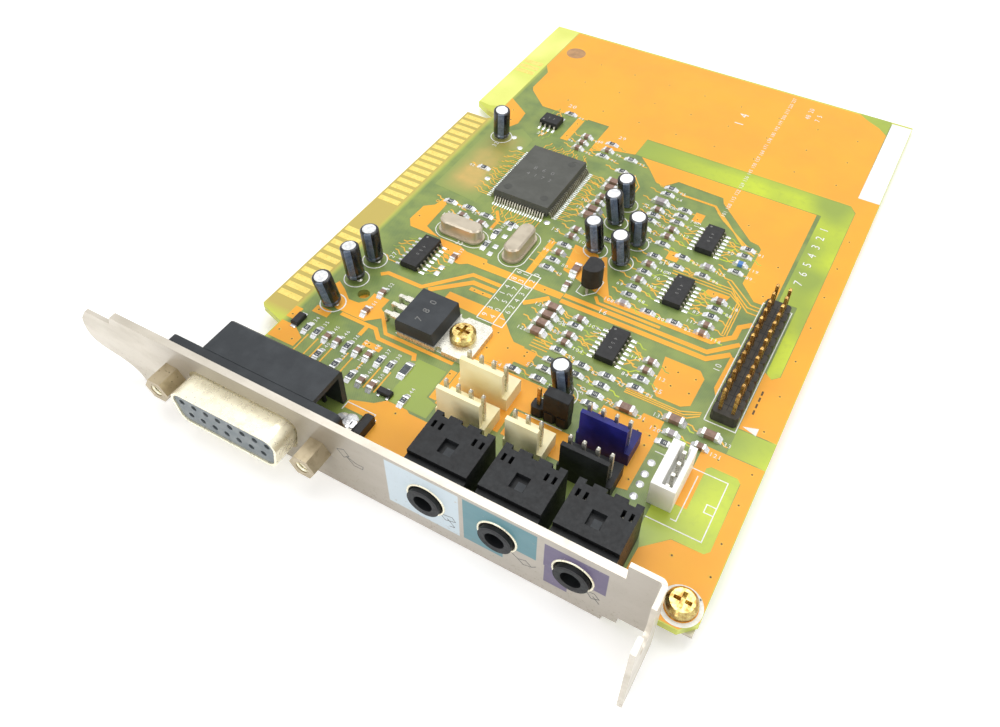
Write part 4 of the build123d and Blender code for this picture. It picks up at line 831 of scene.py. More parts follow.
THIN_TRACES: tuple[tuple[float, Path], ...] = (
    tuple((0.3, ((x, 14.6), (x, 20.2))) for x in (13.4, 15.8, 17.3, 19.7, 23.2, 24.6, 27.0, 30.7, 33.1))
    + tuple((0.26, ((73.5, 38.2 + 0.45 * k), (86.0 - 0.8 * k, 38.2 + 0.45 * k), (88.0, 39.8 + 0.45 * k)))
            for k in range(3))
    + tuple((0.26, ((69.0, 74.5 - 0.85 * k), (82.0, 74.5 - 0.85 * k), (84.2 + 0.5 * k, 71.6 - 0.6 * k),
                    (84.4 + 0.5 * k, 61.3)))
            for k in range(3))
    + ((0.3, ((77.3, 79.0), (79.5, 76.9), (80.9, 76.9), (86.8, 71.9), (89.0, 71.9))),
       (0.3, ((80.2, 76.4), (86.4, 70.9), (89.0, 70.9))),
       (0.3, ((83.5, 72.8), (86.8, 69.6), (89.0, 69.6))))
    + tuple((0.3, ((70.5 + 0.6 * k, 96.8 - 0.1 * k), (72.5 + 0.6 * k, 94.8 - 0.1 * k),
                   (80.0 + 0.1 * k, 89.0 - 0.75 * k), (82.6, 88.4 - 0.9 * k))) for k in range(3))
    + tuple((0.25, ((46.8 + 0.8 * k, 99.5 + 0.2 * k), (49.5 + 0.8 * k, 96.3), (49.5 + 0.8 * k, 92.0)))
            for k in range(3))
    + tuple((0.25, ((52.5, 39.6 + 0.8 * k), (56.4, 39.6 + 0.8 * k))) for k in range(4))
)
VIAS: Path = (
    (78.2, 95.9), (88.2, 85.8), (88.2, 75.6), (99.4, 101.8), (99.4, 91.8), (99.4, 81.8), (99.4, 71.8),
    (99.4, 61.6), (99.4, 51.6), (99.4, 42.3), (78, 47.6), (80.6, 47.6), (84.2, 47.6), (80.6, 43.8),
    (84.3, 43.8), (100.5, 32.4), (94.3, 32.4), (100.5, 25.4), (100.5, 17.1), (94.2, 11.2), (101, 10.7),
    (101, 6.3), (100.9, 3), (79.4, 33.6), (81.7, 33.6), (79.4, 31.2), (81.7, 31.2), (81.7, 28.8),
    (82.2, 20.9), (53.1, 37.6), (53.1, 36.5), (45.7, 39.3), (49.3, 36.7), (45.7, 34.7), (43, 25.5),
    (43.6, 20), (7.2, 23), (7.6, 18.4), (11.4, 17.6), (11, 26.6), (25.4, 23.9), (27, 23.9), (67.4, 92),
    (67.2, 78), (79, 71.2), (12.3, 61.4), (13, 68), (27, 106), (27, 112), (38, 3), (47.5, 12.3), (39.4, 12.6),
    (9.8, 109.2), (11.4, 105), (35.4, 47.2), (37.4, 47.2), (24, 55), (33, 55), (48, 54.6))
FIELD_GRID: Path = tuple((20.0 + 10.2 * i, 120.6 + 10.2 * j) for i in range(8) for j in range(3))
DOTS: Path = (
    (38.3, 73.9), (18.6, 81), (19.3, 95.5), (15.9, 98.7), (84.3, 26), (84.2, 23.3), (84.3, 21), (84.3, 18.3))
BARE_PADS: Path = (
    (25.8, 49.5), (25.9, 47.5), (32.2, 67.8), (32.5, 64.9), (32.4, 61), (32.5, 58.4))
SILK_LINES: tuple[tuple[float, Path], ...] = (
    (0.2, ((28, 29.1), (43.3, 29.1))),
    (0.22, ((39.7, 40.8), (45.6, 40.8), (45.6, 57.3), (39.7, 57.3), (39.7, 40.8))),
    (0.2, ((43.5, 40.8), (43.5, 57.3))),
    (0.2, ((39.7, 53.6), (45.6, 53.6))),
    (0.2, ((30.3, 8.6), (30.3, 10.5), (36.5, 10.5), (36.5, 9.2))),
    (0.22, ((88.9, 39.5), (94.9, 39.5), (94.9, 73.9), (88.9, 73.9), (88.9, 39.5))),
    (0.2, ((83.9, 28.6), (97.5, 28.6), (97.5, 15.7), (87.5, 15.7))),
    (0.2, ((91.4, 17.3), (92.4, 17.3), (92.4, 27.5))),
    (0.2, ((97.4, 21.2), (95.8, 21.2), (95.8, 22.9), (97.4, 22.9))),
    (0.2, ((60, 24.3), (67.5, 24.3))),
    (0.2, ((53.85, 57.44), (55.65, 57.03), (57.59, 59.2), (57.71, 62.69), (56.55, 63.62), (53.85, 62.6),
     (53.85, 57.44))))
ARROW: Path = (
    (95.6, 41.5), (98.4, 40.6), (98.4, 42.4))
# numerals, their middle, their direction in degrees and their height
NUMBERS: tuple[tuple[str, float, float, float, float], ...] = (
    ("10", 86.8, 52.5, 90, 1.3), ("11", 47.6, 28.4, 90, 1.3), ("12", 48.4, 20.8, 90, 1.3),
    ("13", 74.2, 28.6, 90, 1.2), ("14", 17.2, 64.6, 0, 1.2), ("15", 41, 72.6, 0, 1.3),
    ("16", 61.2, 54.8, 0, 1.2), ("17", 62.6, 49.6, 90, 1.3), ("18", 68.4, 71.8, 90, 1.3),
    ("19", 68.2, 90.2, 90, 1.3), ("20", 22.4, 118.4, 0, 1.4), ("21", 46.8, 83.2, 90, 1.1),
    ("22", 55.4, 66.6, 90, 1.1), ("23", 55.4, 90.6, 90, 1.1), ("24", 60.2, 86, 90, 1.1),
    ("25", 79, 41.4, 0, 1.1), ("26", 26.4, 20, 0, 1), ("27", 14.8, 47.6, 90, 1.2),
    ("28", 20.8, 103.6, 0, 1.2), ("29", 39.6, 112, 0, 1.2), ("30", 66.6, 34.4, 90, 1.2),
    ("31", 86.2, 33.4, 90, 1.1), ("32", 13.4, 93.8, 90, 1.2), ("33", 25, 58, 0, 1.1),
    ("34", 61.2, 29.4, 90, 1.1), ("1 4", 62.9, 135.4, 90, 2.4), ("48 20", 77.4, 147, 90, 1.3),
    ("7 5", 80, 146, 90, 1.3), ("1 2 0", 44.55, 55.5, 90, 1.25), ("2 4 3 0", 44.55, 50, 90, 1.25),
    ("1 6", 44.55, 44, 90, 1.25), ("3 1", 42.5, 55.5, 90, 1.25), ("5 2 7", 42.5, 49.6, 90, 1.25),
    ("4 0", 42.5, 43.6, 90, 1.25), ("8 6", 40.8, 55.5, 90, 1.25), ("7 1 4", 40.8, 49.4, 90, 1.25),
    ("9 3", 40.8, 43.4, 90, 1.25)) + tuple(
    (str(n), 93.5, 106.3 - 3.3 * n, 90, 1.9) for n in range(1, 8))


@dataclass
class BoardArt(Assembly):
    """Mask over copper, traces, vias, print and bare pads of the component face.

    Attributes:
        via_radius: Outer radius of a via's ring in mm.
        hole_radius: Radius of its hole in mm.
        slot: Length and width of the printed outline round a crystal in mm.
    """

    via_radius: float = 0.42
    hole_radius: float = 0.2
    slot: Point = (12.6, 6.2)

    def build(self) -> None:
        """Builds every layer."""
        for layer in (self.bands, self.pours, self.traces, self.vias, self.silk, self.marks):
            layer()

    def bands(self) -> None:
        """Lays the bright bands where the laminate has no copper."""
        bm = bmesh.new()
        for index, outline in enumerate(CLEAR_BANDS):
            sheet(bm, outline, 0.0, BAND_TOP - 0.0005 * index)
        sheet(bm, FAR_BAND, 0.0, BAND_TOP, 1)
        sheet(bm, TAN_FIELD, 0.0, BAND_TOP, 2)
        self.piece("clear_bands", bm, "clear_laminate pale_laminate copper_below", "board")

    def pours(self) -> None:
        """Lays the copper fields seen orange through the mask."""
        bm = bmesh.new()
        for index, outline in enumerate(POURS):
            sheet(bm, outline, 0.0, POUR_TOP - 0.0004 * index)
        self.piece("copper_pours", bm, "masked_copper", "board")

    def traces(self) -> None:
        """Lays the wide and thin traces, and those of the leads and of the chip parts."""
        bm = bmesh.new()
        for index, (width, path) in enumerate(WIDE_TRACES):
            track(bm, path, width, 0.0, POUR_TOP + 0.001 + 0.0004 * index)
        for index, (width, path) in enumerate(THIN_TRACES):
            track(bm, path, width, 0.0, TRACE_TOP + 0.0003 * index, 1)
        for x, y, angle, edge, count, pitch in lead_rows():
            start = edge + (2.0 if pitch < 1 else 1.15)
            turned = Matrix.Rotation(math.radians(angle), 2)
            for index in range(count):
                along = (index - (count - 1) / 2) * pitch
                aside = along + (0.9 if index < count / 2 else -0.9)
                reach = start + 0.7 + 0.55 * ((index * 5 + count) % 4)
                path = ((start - 0.4, along), (reach, along), (reach + 0.9, aside), (reach + 1.7, aside))
                track(bm, [turned @ Vector(point) + Vector((x, y)) for point in path],
                      0.2 if pitch < 1 else 0.26, 0.0, TRACE_TOP - 0.007 + 0.0002 * index,
                      1 if index % 3 else 2)
        ends = [(x, y, side) for x, y in CHIP_PART_PLACES for side in (-1, 1)]
        for count, (x, y, side) in enumerate(ends, 1):
            reach = 1.5 + 0.5 * (count % 3)
            aside = y + (0.7 if count % 2 else -0.7)
            bend = reach * 0.6
            track(bm, ((x + side * 1.4, y), (x + side * (1.4 + bend), y), (x + side * (2.1 + bend), aside),
                       (x + side * (2.1 + reach), aside)), 0.26, 0.0,
                  TRACE_TOP - 0.0075 + 0.00006 * (count % 7), 1 if count % 4 else 2)
        self.piece("copper_traces", bm, "masked_copper masked_traces clear_laminate", "board")

    def vias(self) -> None:
        """Sets small plated holes with a darker middle, solder dots and bare pads."""
        bm = bmesh.new()
        for x, y in VIAS + FIELD_GRID:
            disc(bm, (x, y, POUR_TOP - 0.01), self.via_radius, 0.03, 12, 0, 0.9)
            disc(bm, (x, y, POUR_TOP + 0.005), self.hole_radius, 0.03, 10, 1, 0.8)
        for x, y in DOTS:
            disc(bm, (x, y, 0.0), 0.75, 0.16, 16, 2, 0.55)
        for x, y in BARE_PADS:
            block(bm, (x, y, 0.05), (1.1, 1.3, 0.14), 2, 0.04)
        self.piece("via_rings", bm, "masked_traces via_hole solder", "tin", True)

    def silk(self) -> None:
        """Prints outlines, rings and plain numerals."""
        bm = bmesh.new()
        for width, path in SILK_LINES:
            track(bm, path, width, 0.0, SILK_TOP)
        sheet(bm, ARROW, 0.0, SILK_TOP)
        for x, y, *_ in CANS:
            self.ring(bm, x, y, 2.75, 0.26)
        self.ring(bm, 98.7, 3.9, 3.55, 0.75)
        for x, y, turn in CRYSTALS:
            self.obround(bm, x, y, turn)
        for index in range(19):
            numerals(bm, str(101 + index * 7), flat_turn(72.0, 97.0 + index * 3.0, SILK_TOP, QUARTER), 0.95)
        for words, x, y, angle, height in NUMBERS:
            numerals(bm, words, flat_turn(x, y, SILK_TOP, math.radians(angle)), height)
        for count, (x, y) in enumerate(CHIP_PART_PLACES, 41):
            side = 3.05 if count % 3 else -3.05
            numerals(bm, str(count), flat_turn(x + side, y - 0.35, SILK_TOP), 0.92)
        for count, (x, y) in enumerate(TURNED_RESISTORS + TURNED_CERAMICS, 41 + len(CHIP_PART_PLACES)):
            numerals(bm, str(count), flat_turn(x + 0.1, y + 2.5, SILK_TOP, QUARTER), 0.85)
        self.piece("board_print", bm, "silk_ink", "board")

    def obround(self, bm: Mesh, x: float, y: float, turn: float) -> None:
        """Prints the outline round a crystal.

        Args:
            bm: Mesh that it goes into.
            x: Middle in mm.
            y: Middle in mm.
            turn: Direction of its length in degrees.
        """
        length, width = self.slot
        path = []
        for step in range(33):
            angle = math.pi * (step - 8) / 16
            side = 1 if step <= 16 else -1
            corner = Vector((side * (length - width) / 2 + math.cos(angle) * width / 2,
                             math.sin(angle) * width / 2))
            path.append(Matrix.Rotation(math.radians(turn), 2) @ corner + Vector((x, y)))
        track(bm, path + path[:1], 0.2, 0.0, SILK_TOP)

    def ring(self, bm: Mesh, x: float, y: float, radius: float, width: float) -> None:
        """Prints a ring.

        Args:
            bm: Mesh that it goes into.
            x: Middle in mm.
            y: Middle in mm.
            radius: Outer radius in mm.
            width: Width of the line in mm.
        """
        made = bmesh.ops.create_circle(bm, segments=40, radius=radius - width)["verts"]
        bmesh.ops.translate(bm, verts=made, vec=(x, y, SILK_TOP))
        edges = list({edge for vert in made for edge in vert.link_edges})
        grown = bmesh.ops.extrude_edge_only(bm, edges=edges)["geom"]
        outer = [item for item in grown if isinstance(item, bmesh.types.BMVert)]
        scale = radius / (radius - width)
        bmesh.ops.scale(bm, verts=outer, vec=(scale, scale, 1), space=Matrix.Translation((-x, -y, 0)))

    def marks(self) -> None:
        """Adds the round stamp and the row of dark dashes."""
        bm = bmesh.new()
        disc(bm, (11.2, 143.0, POUR_TOP - 0.02), 2.7, 0.04, 32)
        for index in range(4):
            block(bm, (96.3, 45.6 + 1.7 * index, POUR_TOP), (0.35, 1.1, 0.04), 1)
        self.piece("board_marks", bm, "round_stamp via_hole", "board")


# ---- parts on the board

# middle of each part in mm; the cans' lean towards +X and +Y in degrees; columns of y at one x
CANS: tuple[tuple[float, float, float, float], ...] = (
    (12.3, 29.6, -2.5, -10), (12.2, 37.8, -5.5, 0.8), (12.2, 44.4, -2.4, -1.1), (13, 97.4, 4.9, -7.2),
    (51.3, 88.6, -1.9, -10), (51.9, 81.6, -7, -5.4), (51.8, 71, -5.5, -4.3), (58.7, 77.7, 0, -9.2),
    (58.3, 70.2, -3.5, -7.9), (64.1, 31.8, -5.8, -2.8))
CRYSTALS: tuple[tuple[float, float, float], ...] = ((23.8, 61.0, 0.0), (37.2, 63.2, 90.0))
RESISTORS: tuple[tuple[float, tuple[float, ...]], ...] = (
    (15.8, (69.1, 84)), (20.6, (69.3,)), (23.7, (114.9,)), (25.5, (68.8,)), (31.8, (69,)),
    (38.5, (102.7, 108.2)), (45.2, (60.7, 63.5, 68.9, 99.4, 104.7)), (52.7, (32.5, 75.2)),
    (58.1, (32.7, 35.4, 37.9, 41, 48.5, 83, 86.2, 88.3, 96.8, 99.2)),
    (63.8, (37.2, 39.8, 61.9, 64.5, 69.9, 75.6, 80.1, 88.5, 91, 93.3)),
    (69.2, (32.1, 34.6, 37.2, 39.8, 59.3, 74.8, 78.3)), (75, (39.9, 42.4, 59.2, 75)),
    (80.8, (64.6, 67, 79.6, 85.3, 87.8)), (84.6, (30.8,)))
CERAMICS: tuple[tuple[float, tuple[float, ...]], ...] = (
    (20.8, (66.1,)), (25.9, (65.8,)), (31.8, (102.4, 105, 107.7)), (38.7, (105.2,)),
    (45.4, (66, 72.2, 74.7, 85.7, 88.1)), (58.3, (43.3, 45.5, 50.5, 90.3)),
    (63.8, (59, 67, 72.5, 82.8, 85.5)), (75.1, (44.7, 47.2, 77.9)), (80.9, (59.2, 61.7, 69.4, 82.3)),
    (85, (33.3,)), (90.5, (33.2,)))
LARGE_CERAMICS: tuple[tuple[float, tuple[float, ...]], ...] = (
    (45.5, (80.4, 82.8, 91.8, 94.3)), (52.1, (43.1, 45.6, 48.1, 50.6)), (57.8, (93.2,)), (75.5, (34.4,)),
    (84.4, (36.4,)), (91.2, (36.4,)))
TURNED_RESISTORS: Path = (
    (12.3, 21.3), (14.7, 21.3), (22.1, 21.3), (29.7, 21.3), (32.2, 21.3), (22.8, 16.4), (18.4, 16.8),
    (27.1, 15.6), (30.3, 60.3), (30.4, 64.8), (39.1, 15.6))
TURNED_CERAMICS: Path = (
    (17.3, 21.3), (19.8, 21.3), (24.6, 21.3), (27.1, 21.3), (29.6, 15.6), (32.1, 15.6), (19.7, 30.8),
    (19.6, 36.8), (26.6, 53.3), (51.5, 57.8))
GREY_CERAMICS: Path = (
    (63.8, 59), (75.1, 77.9), (85, 33.3), (57.8, 93.2))
BLUE_CERAMIC: Point = (80.9, 82.3)
CHIP_PART_PLACES = [(x, y) for x, column in RESISTORS + CERAMICS + LARGE_CERAMICS for y in column]

# middle of each small chip in mm, leads on a side and turn in degrees; then the large chip's middle
# and, for each of its sides, the direction, distance and leads
SMALL_CHIPS: tuple[tuple[float, float, int, int], ...] = (
    (20.0, 50.5, 8, 0), (67.0, 46.9, 7, 0), (72.6, 67.3, 7, 0), (72.5, 85.9, 7, 0), (21.2, 108.8, 4, 90))
SMALL_CHIP_SIDE = 1.95
BIG_CHIP: Point = (30.6, 85.3)
BIG_CHIP_SIDES = ((0, 7.0, 30), (90, 10.0, 20), (180, 7.0, 30), (270, 10.0, 20))
BIG_CHIP_PITCH = 0.65


def lead_rows() -> list[tuple[float, float, float, float, int, float]]:
    """Lists each row of chip leads.

    Returns:
        Middle of the chip, direction and distance of the side, count and pitch of the leads.
    """
    rows = [(x, y, turn + half, SMALL_CHIP_SIDE, count, LEAD_PITCH) for x, y, count, turn in SMALL_CHIPS
            for half in (0, 180)]
    return rows + [(*BIG_CHIP, *side, BIG_CHIP_PITCH) for side in BIG_CHIP_SIDES]


@dataclass(frozen=True)
class ChipSize:
    """Size of a chip part in mm."""

    length: float
    width: float
    height: float
    cap: float


@dataclass
class ChipParts(Assembly):
    """Chip resistors and chip capacitors with metal ends and solder fillets.

    Attributes:
        resistor: Size of the common resistor.
        large_resistor: Size of the one larger resistor.
        ceramic: Size of a small capacitor.
        large: Size of a large one.
    """

    resistor: ChipSize = ChipSize(2.0, 1.25, 0.52, 0.4)
    large_resistor: ChipSize = ChipSize(3.2, 1.6, 0.52, 0.45)
    ceramic: ChipSize = ChipSize(2.0, 1.25, 0.92, 0.48)
    large: ChipSize = ChipSize(3.2, 1.6, 1.12, 0.62)

    def build(self) -> None:
        """Builds the resistors, then the capacitors."""
        self.resistors()
        self.ceramics()

    def resistor_shape(self, size: ChipSize) -> bpy.types.Mesh:
        """Shapes one resistor: alumina base, dark glaze, metal ends and fillets.

        Args:
            size: Its size.

        Returns:
            The template.
        """
        bm = bmesh.new()
        base = (size.length - 0.1, size.width, size.height - 0.06)
        glaze = (size.length - 2 * size.cap, size.width - 0.12, 0.08)
        block(bm, (0, 0, size.height / 2 - 0.02), base, 1, 0.03)
        block(bm, (0, 0, size.height - 0.03), glaze, 0, 0.03)
        self.ends(bm, size)
        return mesh_of(bm)

    def ceramic_shape(self, size: ChipSize, body: int) -> bpy.types.Mesh:
        """Shapes one capacitor: fired body, metal ends and fillets.

        Args:
            size: Its size.
            body: Material index of its body.

        Returns:
            The template.
        """
        bm = bmesh.new()
        block(bm, (0, 0, size.height / 2), (size.length - 0.1, size.width - 0.06, size.height - 0.04), body,
              0.08)
        self.ends(bm, size)
        return mesh_of(bm)

    def ends(self, bm: Mesh, size: ChipSize) -> None:
        """Adds both metal ends and their solder fillets.

        Args:
            bm: Mesh that they go into.
            size: Size of the part.
        """
        for side in (-1, 1):
            block(bm, (side * (size.length - size.cap) / 2, 0, size.height / 2),
                  (size.cap, size.width + 0.02, size.height + 0.01), 2, 0.06)
            middle = size.length / 2 + 0.3
            for vert in block(bm, (side * middle, 0, size.height * 0.36),
                              (0.85, size.width * 1.04, size.height * 0.72), 2):
                if side * vert.co.x > middle:
                    vert.co.y *= 0.86
                    if vert.co.z > 0.1:
                        vert.co.z = 0.05

    def resistors(self) -> None:
        """Places every chip resistor."""
        small = self.resistor_shape(self.resistor)
        bm = bmesh.new()
        places = [(x, y, Run.ALONG_BRACKET) for x, column in RESISTORS for y in column]
        places += [(x, y, Run.ALONG_BOARD) for x, y in TURNED_RESISTORS]
        for count, (x, y, run) in enumerate(places):
            stamp(bm, small, flat_turn(x, y, 0.0, run.value))
            self.strokes(bm, flat_turn(x, y, self.resistor.height + 0.012, run.value), count)
        stamp(bm, self.resistor_shape(self.large_resistor), flat_turn(35.3, 21.9, 0.0, Run.ALONG_BOARD.value))
        piece = self.piece("fitted_resistors", bm, "resistor_glaze resistor_base solder silk_ink",
                           "chip_body")
        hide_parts("resistors")

    def strokes(self, bm: Mesh, place: Matrix, count: int) -> None:
        """Prints short pale strokes in place of a value.

        Args:
            bm: Mesh that they go into.
            place: Middle of the part's top.
            count: Number of the part, which sets the strokes.
        """
        for index in range(3):
            if (count + index) % 4 != 3:
                made = block(bm, (0, 0, 0), (0.1, 0.5 if (count + index) % 3 else 0.34, 0.012), 3)
                bmesh.ops.transform(bm, matrix=place @ Matrix.Translation(((index - 1) * 0.3, 0, 0)),
                                    verts=made)

    def ceramics(self) -> None:
        """Places every chip capacitor, mostly brown, a few grey and one blue."""
        bm = bmesh.new()
        shapes: dict[tuple[ChipSize, int], bpy.types.Mesh] = {}
        places = [(self.ceramic, x, y, Run.ALONG_BRACKET) for x, column in CERAMICS for y in column]
        places += [(self.ceramic, x, y, Run.ALONG_BOARD) for x, y in TURNED_CERAMICS]
        places += [(self.large, x, y, Run.ALONG_BRACKET) for x, column in LARGE_CERAMICS for y in column]
        places += [(self.large, 51.1, 62.9, Run.ALONG_BOARD)]
        for size, x, y, run in places:
            body = 1 if (x, y) in GREY_CERAMICS else 3 if (x, y) == BLUE_CERAMIC else 0
            if (size, body) not in shapes:
                shapes[size, body] = self.ceramic_shape(size, body)
            stamp(bm, shapes[size, body], flat_turn(x, y, 0.0, run.value))
        piece = self.piece("fitted_ceramics", bm, "brown_ceramic grey_ceramic solder blue_ceramic", "ceramic")
        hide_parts("ceramic_capacitors")


@dataclass
class Can(Assembly):
    """Electrolytic capacitor with a shrunk sleeve, a crimp near its foot and a bare top.

    Attributes:
        number: Number of its CAD node.
        x: Middle in mm.
        y: Middle in mm.
        lean_x: Lean towards +X in degrees.
        lean_y: Lean towards +Y in degrees.
        radius: Can radius in mm.
        low: Height of its foot in mm.
        tall: Its height in mm.
        stripe: Direction of the pale stripe in degrees.
    """

    number: int
    x: float
    y: float
    lean_x: float
    lean_y: float
    radius: float = 1.99
    low: float = 0.9
    tall: float = 7.88
    stripe: float = -70.0

    def build(self) -> None:
        """Spins the sleeve, the rim and the top, and adds the leads."""
        bm = bmesh.new()
        high = self.low + self.tall
        foot = ((-0.3, 0.0), (-0.05, 0.12), (0.0, 0.35), (0.0, 0.8), (-0.2, 1.05), (0.0, 1.3))
        rim = ((0.0, -0.3), (-0.13, -0.1), (-0.34, -0.01), (-0.54, 0.0), (-0.6, -0.08))
        profile = [(0.0, self.low)] + [(self.radius + r, self.low + z) for r, z in foot]
        profile += [(self.radius + r, high + z) for r, z in rim] + [(0.0, high - 0.08)]
        spin(bm, [(r, 0, z) for r, z in profile], (0, 0, 0), (0, 0, 1), 40)
        for face in bm.faces:
            middle = face.calc_center_median()
            reach = math.hypot(middle.x, middle.y)
            turned = math.atan2(middle.y, middle.x) - math.radians(self.stripe)
            if middle.z > high - 0.12 and reach < self.radius - 0.55:
                face.material_index = 1
            elif (reach > self.radius - 0.25 and self.low + 0.3 < middle.z < high - 0.05
                  and abs((turned + math.pi) % (2 * math.pi) - math.pi) < 0.42):
                face.material_index = 2
        lean = (Matrix.Translation((self.x, self.y, 0)) @ Matrix.Rotation(-math.radians(self.lean_y), 4, "X")
                @ Matrix.Rotation(math.radians(self.lean_x), 4, "Y"))
        bmesh.ops.transform(bm, matrix=lean, verts=bm.verts)
        for x in (self.x - 0.75, self.x + 0.75):
            block(bm, (x, self.y, -0.7), (0.45, 0.45, 4.2), 3, 0.06)
            disc(bm, (x, self.y, 0.0), 0.62, 0.3, 14, 3, 0.5)
            disc(bm, (x, self.y, UNDERSIDE), 0.75, -0.55, 14, 3, 0.4)
        piece = self.piece(f"can_{self.number}", bm, "black_sleeve can_top grey_stripe tinned_lead", "sleeve",
                           True)
        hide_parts(f"capacitor_{self.number}")


@dataclass
class ChipDetails(Assembly):
    """Solder at the chips' leads and faint marks on their tops.

    Attributes:
        big_top: Height of the large chip's top in mm.
        small_top: Height of a small chip's top in mm.
        regulator_top: Height of the regulator's top in mm.
        ink: Thickness of the marks in mm.
    """

    big_top: float = 2.7
    small_top: float = 1.6
    regulator_top: float = 4.5
    ink: float = 0.008

    def build(self) -> None:
        """Builds the solder and the marks."""
        self.solder()
        self.marks()

    def solder(self) -> None:
        """Puts a fillet at the foot of every lead."""
        bm = bmesh.new()
        wide, narrow = self.fillet(0.95, 0.6, 0.62, 0.16), self.fillet(1.35, 0.62, 0.36, 0.14)
        for x, y, angle, edge, count, pitch in lead_rows():
            for index in range(count):
                along = (index - (count - 1) / 2) * pitch
                stamp(bm, narrow if pitch < 1 else wide,
                      flat_turn(x, y, 0.0, math.radians(angle)) @ Matrix.Translation((edge, along, 0)))
        self.piece("lead_solder", bm, "solder", "tin", True)

    def fillet(self, middle: float, drop: float, width: float, height: float) -> bpy.types.Mesh:
        """Shapes one low mound of solder under and past a lead's foot.

        Args:
            middle: Distance of its middle from the chip's side in mm.
            drop: Share of the height that is lost at its far end.
            width: Its width in mm.
            height: Its height in mm.

        Returns:
            The template.
        """
        bm = bmesh.new()
        for vert in block(bm, (middle + 0.15, 0, height / 2 + 0.02), (1.2, width, height)):
            if vert.co.z > height / 2 + 0.02:
                vert.co.y *= 0.7
                if vert.co.x > middle:
                    vert.co.z = 0.02 + height * (1 - drop)
                    vert.co.x -= 0.1
        return mesh_of(bm)

    def marks(self) -> None:
        """Adds faint plain numerals, a pin-1 dot and the round moulding marks."""
        bm = bmesh.new()
        for x, y in ((26.0, 78.0), (35.2, 78.2), (35.0, 92.6)):
            disc(bm, (x, y, self.big_top - 0.005), 0.95, 0.012, 28, 2)
        for words, y, height in (("8 6 0", 87.2, 1.3), ("4 1 7 2", 84.6, 1.1)):
            numerals(bm, words, flat_turn(30.4, y, self.big_top + 0.005), height, self.ink)
        for x, y, count, turn in SMALL_CHIPS:
            numerals(bm, "5 2" if count < 7 else "4 5 0",
                     flat_turn(x, y, self.small_top + 0.005, 0.0 if turn else -QUARTER), 0.75, self.ink)
            spot = (flat_turn(x, y, self.small_top - 0.01, math.radians(turn))
                    @ Vector((-1.1, (count - 1) * LEAD_PITCH / 2 - 0.2, 0)))
            disc(bm, spot, 0.26, 0.018, 14)
        numerals(bm, "7 8 0", flat_turn(32.6, 33.75, self.regulator_top + 0.005, QUARTER), 1.5, self.ink)
        self.piece("chip_marks", bm, "faded_print chip_epoxy mould_mark", "chip_body")


@dataclass
class Solder(Assembly):
    """Solder where pins and leads go through the board, and the copper fields of its far side.

    Attributes:
        rows: Count, x and y of the first, step along X and along Y, and radius of each row of joints.
    """

    rows: tuple[tuple[int, float, float, float, float, float], ...] = (
        (8, 7.005, 8.56, 2.77, 0, 0.95), (7, 8.39, 5.86, 2.77, 0, 0.95), (13, 90.8, 41.5, 0, PITCH, 0.95),
        (13, 90.8 + PITCH, 41.5, 0, PITCH, 0.95), (4, 55.4, 25.2, -PITCH, 0, 0.95),
        (4, 55.3, 17.5, -PITCH, 0, 0.95), (3, 66.6, 17.6, -PITCH, 0, 0.95), (4, 79.7, 17.6, -PITCH, 0, 0.95),
        (4, 79.6, 25.3, -PITCH, 0, 0.95), (4, 89.2, 19.59, 0, PITCH, 0.95), (3, 61.9, 25.95, PITCH, 0, 0.95),
        (3, 24.6, 31.21, 0, PITCH, 1.05), (2, 21.35, 61, 4.9, 0, 0.85), (2, 37.2, 60.75, 0, 4.9, 0.85),
        (3, 56, 58, 0, 1.9, 0.8), (2, 52, 10.05, 7, 0, 1.1), (2, 65.5, 10.05, 7, 0, 1.1),
        (2, 79, 10.05, 7, 0, 1.1))

    def build(self) -> None:
        """Builds a cone under each joint, and the fields underneath."""
        each = bmesh.new()
        disc(each, (0, 0, 0.0), 1.0, -0.12, 16)
        disc(each, (0, 0, -0.1), 0.82, -0.75, 16, 0, 0.45)
        cone, bm = mesh_of(each), bmesh.new()
        for count, x, y, across, along, radius in self.rows:
            for index in range(count):
                stamp(bm, cone, Matrix.Translation((x + across * index, y + along * index, UNDERSIDE))
                      @ Matrix.Diagonal((radius, radius, 1, 1)))
        self.piece("far_side_solder", bm, "solder", "tin", True)
        bm = bmesh.new()
        for outline in POURS[:2] + FAR_SIDE_POURS:
            sheet(bm, outline, UNDERSIDE - POUR_TOP, POUR_TOP)
        self.piece("far_side_pours", bm, "masked_copper", "board")


# ---- bracket, sockets and connectors

# x and z of each line of the small signs on the bracket, in mm
SIGNS: tuple[Path, ...] = (
    ((37.8, 5.5), (39.3, 6.2), (40.2, 4.8), (39, 3.8), (37.8, 5.5)),
    ((39.6, 4.5), (41.6, 3.6), (43, 3.7), (42.8, 2.8), (41, 2.7), (39.6, 4.5)),
    ((58.3, 1.6), (60.6, 2.2), (61.2, 1.2), (59.2, 0.4), (58.3, 1.6)),
    ((59.6, 1.2), (61, -0.6), (60, -0.9)),
    ((71.4, 1.2), (72.9, 0), (74.3, 0.6), (75.4, -0.5), (73.9, -1), (72.9, 0)),
    ((75.4, -0.5), (76.2, 0.3)),
    ((85, 1), (86.4, 1.3), (87.3, 0.2), (86, -0.6), (85, 1)),
    ((86.2, 0.3), (87.4, -1.2)))


